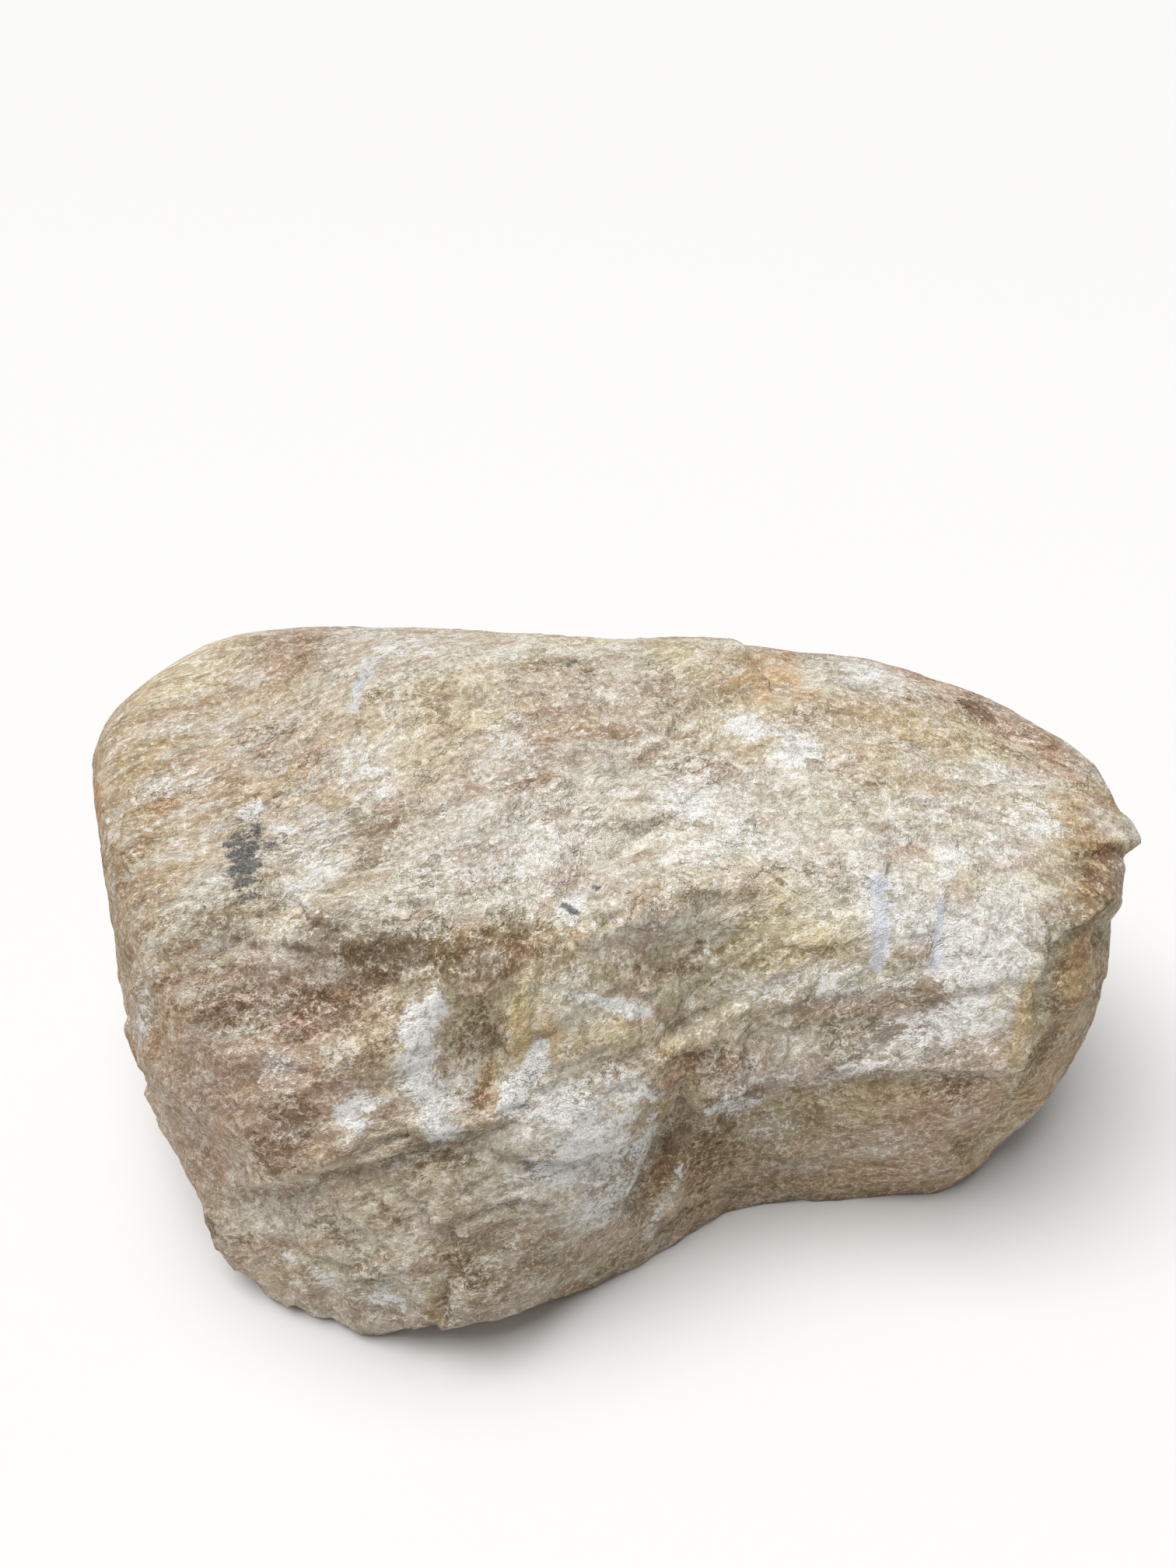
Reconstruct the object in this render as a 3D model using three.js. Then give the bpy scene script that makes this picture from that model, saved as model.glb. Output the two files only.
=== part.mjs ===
// Honeycomb calcite specimen: one rough, broken stone, lying on a flat face.
// Millimetres, +Z up. The origin is on the floor under the middle of the stone, +X runs along
// its length and -Y faces the front.
//
// The stone is a star-shaped solid: every point of its skin is reached by one ray from a core
// point. Large broken facets set how far each ray goes, named marks then raise or cut ledges,
// hollows and creases, and a grain that follows the crystal fibres roughens what is left.

import * as THREE from 'three';
import { mergeVertices } from 'three/addons/utils/BufferGeometryUtils.js';

// ---------------------------------------------------------------- driving dimensions
const CORE = new THREE.Vector3(0, 15, 85);   // core point, above the floor
const MESH_HALF_SIZES = [200, 118, 88];      // half sizes of the block that the skin is laid out on
const MESH_STEPS = [40, 24, 18];             // steps along the block's length, depth and height
const FACET_SHARPNESS = 24;                  // exponent that rounds the edges between facets
const CREASE_SHARPNESS = 16;                 // exponent that rounds the crease between two masses
const LEAST_NEARNESS = 1e-6;                 // what a ray that meets no facet counts as
const FLOOR_SNAP = 0.3;                      // points of the skin lower than this lie on the floor
const WELD = 0.001;                          // corners closer than this are one
const FOOT_SEARCH = { steps: 720, halvings: 18, bounds: [0.5, 89] }; // round the foot, in degrees

// Facets as [azimuth, elevation, reach]: the facet's outward normal in degrees, and its
// distance from the core in mm.
const SHELL = {
  crownLeft: [-95, 85, 90],
  crownRight: [-52, 77, 77],
  backSlope: [84, 62, 121],
  backSlopeLeft: [98, 63, 142],
  leftShoulder: [161, 51, 190],
  leftCheek: [-167, 18, 199],
  leftEnd: [-155, 1, 176],
  leftHeel: [-142, -11, 173],
  rightTip: [-37, -9, 186],
  rightUnderside: [-48, -20, 156],
  rightLower: [-10, -28, 200],
  rightCheek: [-17, 14, 192],
  rightNose: [-3, 32, 202],
  rightShoulder: [31, 55, 160],
  backShoulder: [46, 59, 157],
  back: [80, 10, 133],
  backLower: [106, -9, 136],
  backLeft: [135, 4, 198],
  backRight: [45, -6, 182],
  leftBack: [178, -4, 212],
  rightBack: [8, -12, 202],
  rightHeel: [-35, -45, 167],
  leftUnder: [-165, -42, 165],
  base: [0, -90, 95],
};

// The front is two masses side by side: a lobe that stands forward, and a wing set back behind
// an undercut.
const LOBE = {
  corner: [-125, 0, 151],
  toeLeft: [-111, -28, 168],
  toe: [-86, -33, 137],
  toeRight: [-70, -33, 116],
  face: [-95, 10, 118],
  brow: [-95, 36, 111],
  shoulder: [-74, 40, 97],
  flank: [-66, 18, 78],
  side: [-51, -1, 73],
};
const WING = {
  band: [-86, 22, 71],
  panel: [-89, -15, 74],
  brow: [-84, 50, 74],
  corner: [-52, 0, 138],
};

// Marks as [shape, azimuth, elevation, length, width, turn, height]: the place on the skin as
// seen from the core in degrees, the size in mm, the turn from level in degrees, and how far the
// mark stands out (or cuts in, where it is negative) in mm.
const MARKS = {
  frontHollow: [mound, -138, 22, 80, 30, 27, -6],
  hollowBrow: [ledge, -141, 30, 70, 26, 35, 2],
  vRecess: [mound, -114, 19, 46, 22, -80, -11],
  vLip: [ledge, -111, 21, 44, 20, 86, -4],
  paleBulge: [mound, -97, 1, 62, 44, -88, 6],
  lobeCrease: [groove, -79, -16, 60, 14, 62, 7],
  paleRidge: [mound, -71, -31, 36, 12, 55, 4],
  upperLedge: [ledge, -75, 42, 60, 24, 4, 3],
  upperLedgeBack: [ledge, -66, 47, 54, 22, 8, 2.5],
  frontStep: [ledge, -131, -1, 72, 20, 35, 4],
  frontStepRight: [ledge, -120, 4, 60, 16, 18, 3],
  footNick: [groove, -114, -20, 34, 10, -86, 6],
  topRecess: [mound, 48, 38, 50, 30, 30, -5],
  topEdge: [ledge, 58, 39, 44, 18, -35, 1.5],
  topCrease: [groove, 30, 22, 70, 12, 7, 3],
  topCreaseRight: [groove, 14, 18, 60, 12, 24, 4],
  beakRecess: [mound, -7, 8, 34, 26, -10, -9],
  beak: [mound, 2, 14, 34, 18, 10, 3],
  endGroove: [groove, -20, 6, 75, 18, 58, 6],
  endRidge: [mound, -16, 14, 60, 14, 20, 3],
  endRidgeLower: [mound, -26, 0, 80, 16, 82, 4],
  endBulge: [mound, -24, -2, 70, 46, 75, 5],
  endStep: [mound, -20, -20, 34, 26, -40, -7],
  leftCrease: [groove, -157, 20, 66, 12, -65, 4],
  leftLedge: [ledge, -173, 25, 60, 14, 0, 2.5],
  toeLump: [mound, -146, -24, 70, 46, -40, 10],
  backHollow: [mound, 108, 4, 90, 60, 20, -9],
  backShelf: [ledge, 72, -4, 130, 60, -12, 4],
  backScar: [groove, 60, 14, 90, 26, 38, 3],
  backBoss: [mound, 142, -8, 70, 54, 30, 8],
  crownSaddle: [mound, -75, 74, 150, 80, 60, -5],
  crownSwell: [mound, 25, 36, 120, 90, 20, 5],
};

// Unevenness that covers the whole stone: the wavelengths across it and the height, in mm.
const SWELL = { size: [95, 80, 70], height: 4, seed: 3 };
const LUMPS = { size: [42, 34, 34], height: 2, seed: 11 };
const TERRACES = { size: [40, 17, 24], height: 0.9, seed: 23, levels: 2.4, riser: 1.8 };

// How a mark fades: the power that makes its ends square, how high and how suddenly a ledge
// rises, how narrow and how round a groove is, and the least depth it reaches through, in mm.
const MARK_ENDS = 4;
const LEDGE_FORM = { lift: 1.6, steepness: 3 };
const GROOVE_FORM = { narrowness: 1.6, roundness: 1.3 };
const MARK_DEPTH = 25;

// How far the edges of the marks stray from straight lines.
const RAGGED = { size: [26, 26, 26], shift: 5, seeds: [81, 82, 83] };

// The crystal fibres climb to the right over the top and run nearly level across the front.
const GRAIN = { rise: 0.42, bend: 0.0014, frontRise: 0.35, frontEdge: -45, frontFade: 16 };
const GRAIN_UP = [0.62, 0.78];               // how the direction across the fibres leans back and up
const WANDER = { size: [70, 60, 60], along: 14, across: 9, seeds: [71, 73] };

// ---------------------------------------------------------------- directions and facets
const radians = THREE.MathUtils.degToRad;

function direction(azimuth, elevation) {
  const level = Math.cos(radians(elevation));
  return new THREE.Vector3(
    level * Math.cos(radians(azimuth)),
    level * Math.sin(radians(azimuth)),
    Math.sin(radians(elevation)),
  );
}

const faceted = (facets) => Object.values(facets)
  .map(([azimuth, elevation, reach]) => direction(azimuth, elevation).divideScalar(reach));
const shell = faceted(SHELL);
const lobe = faceted(LOBE);
const wing = faceted(WING);

// One over the distance to the nearest facet along a ray, with its edges rounded.
function nearness(ray, facets) {
  const sum = facets.reduce((total, f) => total + Math.max(f.dot(ray), 0) ** FACET_SHARPNESS, 0);
  return Math.max(sum ** (1 / FACET_SHARPNESS), LEAST_NEARNESS);
}

// Distance from the core to the smooth facets along a ray. The front is whichever of the lobe
// and the wing stands further out, with a rounded crease between them.
function facetReach(ray) {
  const front = (nearness(ray, lobe) ** -CREASE_SHARPNESS + nearness(ray, wing) ** -CREASE_SHARPNESS)
    ** (-1 / CREASE_SHARPNESS);
  return (nearness(ray, shell) ** FACET_SHARPNESS + front ** FACET_SHARPNESS) ** (-1 / FACET_SHARPNESS);
}

// ---------------------------------------------------------------- seeded noise
// A repeatable value from 0 to 1 for each corner of a lattice.
function cornerValue(i, j, k, seed) {
  let h = Math.imul(i, 0x8da6b343) ^ Math.imul(j, 0xd8163841) ^ Math.imul(k, 0xcb1ab31f)
    ^ Math.imul(seed, 0x9e3779b1);
  h = Math.imul(h ^ (h >>> 15), 0x2c1b3c6d);
  h = Math.imul(h ^ (h >>> 12), 0x297a2d39);
  return ((h ^ (h >>> 15)) >>> 0) / 2 ** 32;
}

const fade = (t) => t * t * t * (t * (t * 6 - 15) + 10);

// Smooth noise from -1 to 1, with one lattice cell of the given size in mm.
function noise(point, size, seed) {
  const place = point.map((value, axis) => value / size[axis]);
  const corner = place.map(Math.floor);
  const blend = place.map((value, axis) => fade(value - corner[axis]));
  let sum = 0;
  for (const a of [0, 1]) {
    for (const b of [0, 1]) {
      for (const c of [0, 1]) {
        const weight = [a, b, c].reduce(
          (product, side, axis) => product * (side ? blend[axis] : 1 - blend[axis]), 1);
        sum += weight * cornerValue(corner[0] + a, corner[1] + b, corner[2] + c, seed);
      }
    }
  }
  return 2 * sum - 1;
}

// ---------------------------------------------------------------- relief
// Where a point lies along, across and through the crystal fibres, in mm.
function grainPlace({ x, y, z }) {
  const along = x + WANDER.along * noise([x, y, z], WANDER.size, WANDER.seeds[0]);
  const drift = WANDER.across * noise([x, y, z], WANDER.size, WANDER.seeds[1]);
  const top = 1 / (1 + Math.exp(-(y - GRAIN.frontEdge) / GRAIN.frontFade));
  const climb = (GRAIN.rise * along - GRAIN.bend * along * along)
    * (GRAIN.frontRise + (1 - GRAIN.frontRise) * top);
  const [back, up] = GRAIN_UP;
  return [along, y * back + z * up - climb + drift, z * back - y * up];
}

// The stone's overall unevenness: broad swells, lumps and small terraces along the fibres.
function unevenness(point) {
  const place = point.toArray();
  const swell = SWELL.height * noise(place, SWELL.size, SWELL.seed);
  const lumps = LUMPS.height * noise(place, LUMPS.size, LUMPS.seed);
  const [along, across, through] = grainPlace(point);
  const level = TERRACES.levels * noise([along, across, through], TERRACES.size, TERRACES.seed);
  const tread = Math.floor(level);
  const riser = THREE.MathUtils.clamp((level - tread - 0.5) * TERRACES.riser + 0.5, 0, 1);
  return swell + lumps + TERRACES.height * (tread + riser);
}

// The three shapes of mark. a, b and n run along, across and out of the mark, and are 1 at its
// edge.
function mound(a, b, n) {
  return Math.exp(-a * a - b * b - n ** MARK_ENDS);
}

function ledge(a, b, n) {
  return LEDGE_FORM.lift * Math.tanh(LEDGE_FORM.steepness * b)
    * Math.exp(-Math.abs(b) - a ** MARK_ENDS - n ** MARK_ENDS);
}

function groove(a, b, n) {
  return -Math.exp(-GROOVE_FORM.narrowness * Math.abs(b) ** GROOVE_FORM.roundness
    - a ** MARK_ENDS - n ** MARK_ENDS);
}

// The point pushed a little to one side, the same way for all marks, so that their edges wander.
function ragged(point) {
  const place = point.toArray();
  const shifts = RAGGED.seeds.map((seed) => RAGGED.shift * noise(place, RAGGED.size, seed));
  return new THREE.Vector3(...shifts).add(point);
}

// A mark set into the facets, as a function from a point of them to a height in mm.
function placeMark([shape, azimuth, elevation, length, width, turn, height]) {
  const out = direction(azimuth, elevation);
  const centre = out.clone().multiplyScalar(facetReach(out)).add(CORE);
  const level = direction(azimuth + 90, 0);
  const upright = out.clone().cross(level);
  const along = level.clone().multiplyScalar(Math.cos(radians(turn)))
    .addScaledVector(upright, Math.sin(radians(turn)));
  const across = out.clone().cross(along);
  const thickness = Math.max(width / 2, MARK_DEPTH);
  return (point) => {
    const offset = point.clone().sub(centre);
    const a = offset.dot(along) / (length / 2);
    const b = offset.dot(across) / (width / 2);
    return height * shape(a, b, offset.dot(out) / thickness);
  };
}

const marks = Object.values(MARKS).map(placeMark);

// ---------------------------------------------------------------- the stone
// Distance from the core to the rough skin along a ray, as if there were no floor.
function skinReach(ray) {
  const reach = facetReach(ray);
  const onFacets = ray.clone().multiplyScalar(reach).add(CORE);
  const strayed = ragged(onFacets);
  return marks.reduce((sum, mark) => sum + mark(strayed), reach + unevenness(onFacets));
}

// How steeply the ray falls that meets both the skin and the floor, as drop over run. The angle
// below level is halved in on between two bounds.
function footSlope(azimuth) {
  let [above, below] = FOOT_SEARCH.bounds;
  for (let halving = 0; halving < FOOT_SEARCH.halvings; halving += 1) {
    const middle = (above + below) / 2;
    const ray = direction(azimuth, -middle);
    const clearOfFloor = CORE.z + skinReach(ray) * ray.z > 0;
    if (clearOfFloor) above = middle;
    else below = middle;
  }
  return Math.tan(radians((above + below) / 2));
}

// The slopes all round the foot, from azimuth -180 to 180 degrees, and a smooth reading of them.
const footSlopes = Array.from({ length: FOOT_SEARCH.steps + 1 },
  (_, i) => footSlope(i * 360 / FOOT_SEARCH.steps - 180));

function footSlopeAt(azimuth) {
  const place = (azimuth + 180) / 360 * FOOT_SEARCH.steps;
  const before = Math.min(Math.floor(place), FOOT_SEARCH.steps - 1);
  return THREE.MathUtils.lerp(footSlopes[before], footSlopes[before + 1], place - before);
}

// Turns the ray of a point of the block so that the block's bottom edges land on the line where
// the stone meets the floor. Rays above the core's level stay as they are.
function seatOnFoot(ray) {
  if (ray.z < 0) {
    const [halfLength, halfDepth, halfHeight] = MESH_HALF_SIZES;
    const run = Math.hypot(ray.x, ray.y) || 1;
    const blockSlope = halfHeight
      * Math.max(Math.abs(ray.x) / run / halfLength, Math.abs(ray.y) / run / halfDepth);
    const azimuth = THREE.MathUtils.radToDeg(Math.atan2(ray.y, ray.x));
    ray.z *= footSlopeAt(azimuth) / (blockSlope || 1);
  }
  return ray.normalize();
}

// The point of the skin, or of the resting face, that a ray from the core meets.
function skinPoint(ray) {
  const toFloor = ray.z < 0 ? CORE.z / -ray.z : Infinity;
  const point = ray.clone().multiplyScalar(Math.min(skinReach(ray), toFloor)).add(CORE);
  point.z = point.z < FLOOR_SNAP ? 0 : point.z;
  return point;
}

// A block of small squares whose corners are moved out along their rays to the skin.
function stoneGeometry() {
  const sides = MESH_HALF_SIZES.map((half) => 2 * half);
  const block = new THREE.BoxGeometry(...sides, ...MESH_STEPS);
  block.deleteAttribute('normal');
  block.deleteAttribute('uv');
  const skin = mergeVertices(block, WELD);
  const corners = skin.getAttribute('position');
  for (let i = 0; i < corners.count; i += 1) {
    const ray = seatOnFoot(new THREE.Vector3().fromBufferAttribute(corners, i));
    corners.setXYZ(i, ...skinPoint(ray).toArray());
  }
  skin.computeVertexNormals();
  return skin;
}

function calciteStone() {
  const calcite = new THREE.MeshStandardMaterial({ color: 0xd6c09a, roughness: 0.8, metalness: 0 });
  const stone = new THREE.Mesh(stoneGeometry(), calcite);
  stone.name = 'calcite_stone';
  return stone;
}

const specimen = new THREE.Group();
specimen.name = 'honeycomb_calcite_specimen';
specimen.add(calciteStone());

export default specimen;
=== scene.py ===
"""Honeycomb calcite specimen: one rough stone of fibrous calcite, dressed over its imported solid.

The stone's skin is a star-shaped surface. Each point of it is reached by one ray from a core point:
broken facets set how far the ray goes, named marks raise or cut ledges, hollows and creases, edges
break it along lines, and the crystal grain roughens the rest. Lengths are in millimetres until the
mesh is made, in metres.
"""
import logging
import math
from dataclasses import dataclass, field
from enum import Enum
from typing import Any, ClassVar

import bpy
import numpy as np
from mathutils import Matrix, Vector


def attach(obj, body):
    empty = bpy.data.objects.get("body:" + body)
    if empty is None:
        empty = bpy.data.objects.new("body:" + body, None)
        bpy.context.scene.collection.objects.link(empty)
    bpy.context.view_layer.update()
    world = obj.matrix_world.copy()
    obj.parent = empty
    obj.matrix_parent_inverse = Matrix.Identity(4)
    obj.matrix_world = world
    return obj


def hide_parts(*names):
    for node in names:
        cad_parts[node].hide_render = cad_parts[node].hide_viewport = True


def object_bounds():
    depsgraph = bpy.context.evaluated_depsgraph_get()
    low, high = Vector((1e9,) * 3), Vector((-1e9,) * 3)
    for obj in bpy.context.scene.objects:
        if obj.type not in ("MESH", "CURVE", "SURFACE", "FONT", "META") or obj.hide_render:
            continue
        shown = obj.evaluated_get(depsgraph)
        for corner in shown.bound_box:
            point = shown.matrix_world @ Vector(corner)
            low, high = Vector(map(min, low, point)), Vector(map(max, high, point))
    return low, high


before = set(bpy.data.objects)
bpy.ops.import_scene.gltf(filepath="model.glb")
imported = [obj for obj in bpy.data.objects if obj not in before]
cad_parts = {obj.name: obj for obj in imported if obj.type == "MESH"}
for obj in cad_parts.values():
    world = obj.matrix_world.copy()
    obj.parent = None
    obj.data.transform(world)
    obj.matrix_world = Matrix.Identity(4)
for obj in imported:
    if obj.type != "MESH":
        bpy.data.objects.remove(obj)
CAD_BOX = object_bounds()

LOG = logging.getLogger("calcite")
MM = 0.001                      # metres in a millimetre
FRAME_PIXELS = (1512, 2016)     # width and height of the view's frame
Array = np.ndarray
Socket = bpy.types.NodeSocket
Feed = Any                      # what a socket takes: a number, a colour, a vector or another socket
Shade = tuple[float, float, float]      # red, green and blue


# ------------------------------------------------------------------------------ plain helpers
def direction(azimuth: float, elevation: float) -> Array:
    """A unit vector.

    Args:
        azimuth: Degrees from +X towards +Y.
        elevation: Degrees above level.

    Returns:
        Three numbers.
    """
    turn, lift = math.radians(azimuth), math.radians(elevation)
    return np.array([math.cos(turn) * math.cos(lift), math.sin(turn) * math.cos(lift), math.sin(lift)])


def smooth(value: Array, low: float, high: float) -> Array:
    """An S-shaped ramp: 0 below low, 1 above high, and 3t^2 - 2t^3 between them."""
    t = np.clip((value - low) / (high - low), 0.0, 1.0)
    return t * t * (3.0 - 2.0 * t)


def linear(colour: Shade) -> Array:
    """The linear-light values of a screen colour, by the usual 2.4 power with its straight toe."""
    c = np.array(colour)
    return np.where(c <= 0.04045, c / 12.92, ((c + 0.055) / 1.055) ** 2.4)


@dataclass(frozen=True)
class LatticeNoise:
    """Seeded smooth noise from -1 to 1 on a lattice of boxes.

    Attributes:
        size: A lattice box's sides along the three coordinates, in millimetres.
        seed: Picks the pattern.
        AXIS_KEYS: Odd numbers that spread a corner's three whole numbers over 32 bits.
        SEED_KEY: The same for the seed.
        STIRS: Shifts and odd numbers of the two rounds that mix the bits.
        LAST_SHIFT: The shift that ends the mixing.
    """

    size: tuple[float, float, float]
    seed: int
    AXIS_KEYS: ClassVar[tuple[int, int, int]] = (0x8DA6B343, 0xD8163841, 0xCB1AB31F)
    SEED_KEY: ClassVar[int] = 0x9E3779B1
    STIRS: ClassVar[tuple[tuple[int, int], ...]] = ((15, 0x2C1B3C6D), (12, 0x297A2D39))
    LAST_SHIFT: ClassVar[int] = 15

    @classmethod
    def corner_value(cls, corner: Array, seed: int) -> Array:
        """A repeatable value for each lattice corner, mixed from its three whole numbers and the seed.

        Args:
            corner: n by 3 whole numbers.
            seed: Picks the pattern.

        Returns:
            n values from 0 to 1.
        """
        mixed = np.full(len(corner), np.uint32((seed * cls.SEED_KEY) & 0xFFFFFFFF))
        with np.errstate(over="ignore"):
            for axis, key in enumerate(cls.AXIS_KEYS):
                mixed ^= corner[:, axis].astype(np.int64).astype(np.uint32) * np.uint32(key)
            for shift, key in cls.STIRS:
                mixed = (mixed ^ (mixed >> np.uint32(shift))) * np.uint32(key)
        return (mixed ^ (mixed >> np.uint32(cls.LAST_SHIFT))).astype(float) / 2.0**32

    def at(self, points: Array) -> Array:
        """The noise at each point: corner values blended by 6t^5 - 15t^4 + 10t^3 along each side.

        Args:
            points: n by 3, in millimetres.

        Returns:
            n values from -1 to 1.
        """
        place = points / np.array(self.size)
        corner = np.floor(place)
        t = place - corner
        blend = t * t * t * (t * (t * 6.0 - 15.0) + 10.0)
        total = np.zeros(len(points))
        for step in np.ndindex(2, 2, 2):
            side = np.array(step)
            weight = np.prod(np.where(side == 1, blend, 1.0 - blend), axis=1)
            total += weight * self.corner_value(corner + side, self.seed)
        return 2.0 * total - 1.0


# ------------------------------------------------------------------------------ the view
@dataclass(frozen=True)
class Viewpoint:
    """The camera: where it stands, how far it looks down, and its lens on a 36 mm frame.

    Attributes:
        place: In millimetres.
        pitch: Degrees below level.
        lens: Focal length in millimetres.
        film: The frame's long side in millimetres.
    """

    place: tuple[float, float, float] = (-8.0, -370.0, 423.0)
    pitch: float = 34.0
    lens: float = 30.0
    film: float = 36.0

    def pixels(self, points: Array) -> Array:
        """Where points show in the frame: offset right and down from the middle, over depth.

        Args:
            points: n by 3, in millimetres.

        Returns:
            n by 2 pixel coordinates.
        """
        down = math.radians(self.pitch)
        ahead = np.array([0.0, math.cos(down), -math.sin(down)])
        up = np.array([0.0, math.sin(down), math.cos(down)])
        offset = points - np.array(self.place)
        width, height = FRAME_PIXELS
        scale = height * self.lens / self.film / (offset @ ahead)
        return np.stack([width / 2 + scale * offset[:, 0], height / 2 - scale * (offset @ up)], axis=1)

    def build(self) -> bpy.types.Object:
        """Makes the camera and sets it as the scene's.

        Returns:
            The camera.
        """
        data = bpy.data.cameras.new("view_camera")
        data.lens, data.sensor_width = self.lens, self.film
        camera = bpy.data.objects.new("view_camera", data)
        camera.location = [value * MM for value in self.place]
        camera.rotation_euler = (math.radians(90.0 - self.pitch), 0.0, 0.0)
        bpy.context.scene.collection.objects.link(camera)
        bpy.context.scene.camera = camera
        return camera


VIEW = Viewpoint()


@dataclass(frozen=True)
class Trace:
    """A line through places in the view's frame.

    Attributes:
        spots: Pixel coordinates of its corners, in order.
    """

    spots: tuple[tuple[float, float], ...]

    def measure(self, pixels: Array) -> tuple[Array, Array]:
        """How far each point lies from the line, and how far along it.

        Args:
            pixels: n by 2.

        Returns:
            The distance in pixels, positive on the right hand of one who walks the line, and the share
            of the line's length, 0 to 1, at the nearest place on it.
        """
        corners = np.array(self.spots, float)
        lengths = np.linalg.norm(np.diff(corners, axis=0), axis=1)
        walked = np.concatenate([[0.0], np.cumsum(lengths)])
        best = np.full(len(pixels), np.inf)
        side, along = np.ones(len(pixels)), np.zeros(len(pixels))
        for start, end, length, before in zip(corners[:-1], corners[1:], lengths, walked):
            run = (end - start) / length
            offset = pixels - start
            step = np.clip(offset @ run, 0.0, length)
            gap = np.linalg.norm(offset - step[:, None] * run, axis=1)
            nearer = gap < best
            best = np.where(nearer, gap, best)
            side = np.where(nearer, np.sign(run[0] * offset[:, 1] - run[1] * offset[:, 0]), side)
            along = np.where(nearer, (before + step) / walked[-1], along)
        return best * side, along


# ------------------------------------------------------------------------------ the stone's form
@dataclass(frozen=True)
class Facet:
    """A broken face, as the plane that its outward normal and its distance from the core give.

    Attributes:
        azimuth: Degrees, of the outward normal.
        elevation: Degrees, of the outward normal.
        reach: Distance from the core, in millimetres.
    """

    azimuth: float
    elevation: float
    reach: float


# the faces all round, which limit the front
SHELL = {
    "crown_left": Facet(-95, 85, 90),
    "crown_right": Facet(-52, 77, 77),
    "back_slope": Facet(84, 62, 121),
    "back_slope_left": Facet(98, 63, 142),
    "left_shoulder": Facet(161, 51, 190),
    "left_cheek": Facet(-167, 18, 199),
    "left_end": Facet(-155, 1, 176),
    "left_heel": Facet(-142, -11, 173),
    "right_tip": Facet(-37, -9, 186),
    "right_underside": Facet(-48, -20, 156),
    "right_lower": Facet(-10, -28, 200),
    "right_cheek": Facet(-17, 14, 192),
    "right_nose": Facet(-3, 32, 202),
    "right_shoulder": Facet(31, 55, 160),
    "back_shoulder": Facet(46, 59, 157),
    "back": Facet(80, 10, 133),
    "back_lower": Facet(106, -9, 136),
    "back_left": Facet(135, 4, 198),
    "back_right": Facet(45, -6, 182),
    "left_back": Facet(178, -4, 212),
    "right_back": Facet(8, -12, 202),
    "right_heel": Facet(-35, -45, 167),
    "left_under": Facet(-165, -42, 165),
    "base": Facet(0, -90, 95),
}

# the lobe that stands out at the front left
LOBE = {
    "corner": Facet(-125, 0, 151),
    "toe_left": Facet(-111, -28, 168),
    "toe": Facet(-86, -33, 137),
    "toe_right": Facet(-70, -33, 116),
    "face": Facet(-95, 10, 118),
    "brow": Facet(-95, 36, 111),
    "shoulder": Facet(-74, 40, 97),
    "flank": Facet(-66, 18, 78),
    "side": Facet(-51, -1, 73),
}

# the right half of the front, undercut below its band
WING = {
    "band": Facet(-86, 22, 71),
    "panel": Facet(-89, -15, 74),
    "brow": Facet(-84, 50, 74),
    "corner": Facet(-52, 0, 138),
}


@dataclass(frozen=True)
class FacetForm:
    """The stone as smooth facets, before its relief.

    Attributes:
        core: The point that every ray starts from, in millimetres.
        sharpness: Exponent that rounds the edges between facets.
        crease: Exponent that rounds the crease between the lobe and the wing.
        least: The least nearness, which keeps a ray that meets no facet finite.
    """

    core: tuple[float, float, float] = (0.0, 15.0, 85.0)
    sharpness: float = 24.0
    crease: float = 16.0
    least: float = 1e-6

    def nearness(self, rays: Array, facets: dict[str, Facet]) -> Array:
        """One over the distance to the nearest facet: the p-norm of ray . normal / reach over facets.

        Args:
            rays: n by 3 unit vectors.
            facets: The facets that the rays may meet.

        Returns:
            n values, per millimetre.
        """
        total = np.zeros(len(rays))
        for facet in facets.values():
            gauge = rays @ direction(facet.azimuth, facet.elevation) / facet.reach
            total += np.maximum(gauge, 0.0) ** self.sharpness
        return np.maximum(total ** (1.0 / self.sharpness), self.least)

    def reach(self, rays: Array) -> Array:
        """Distance from the core to the facets along each ray.

        The front is whichever of the lobe and the wing stands further out, blended where they meet,
        and the shell then limits it.

        Args:
            rays: n by 3 unit vectors.

        Returns:
            n distances in millimetres.
        """
        lobe, wing = self.nearness(rays, LOBE), self.nearness(rays, WING)
        front = (lobe**-self.crease + wing**-self.crease) ** (-1.0 / self.crease)
        shell = self.nearness(rays, SHELL)
        return (shell**self.sharpness + front**self.sharpness) ** (-1.0 / self.sharpness)


FORM = FacetForm()


class Cut(Enum):
    """How a mark's height falls off."""

    MOUND = "mound"
    LEDGE = "ledge"
    GROOVE = "groove"

    def profile(self, a: Array, b: Array, n: Array) -> Array:
        """The mark's height as a share of its full height.

        A mound is a bell, exp(-a^2 - b^2). A ledge steps from low to high across its middle,
        1.6 tanh(3b) exp(-|b|). A groove is a narrow cut, -exp(-1.6 |b|^1.3). All fade at the ends.

        Args:
            a: Place along the mark, 1 at its end.
            b: Place across it, 1 at its edge.
            n: Place out of the skin, 1 at the mark's thickness.

        Returns:
            One share for each place.
        """
        if self is Cut.MOUND:
            return np.exp(-a * a - b * b - n**4)
        if self is Cut.LEDGE:
            return 1.6 * np.tanh(3.0 * b) * np.exp(-np.abs(b) - a**4 - n**4)
        return -np.exp(-1.6 * np.abs(b) ** 1.3 - a**4 - n**4)


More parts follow.
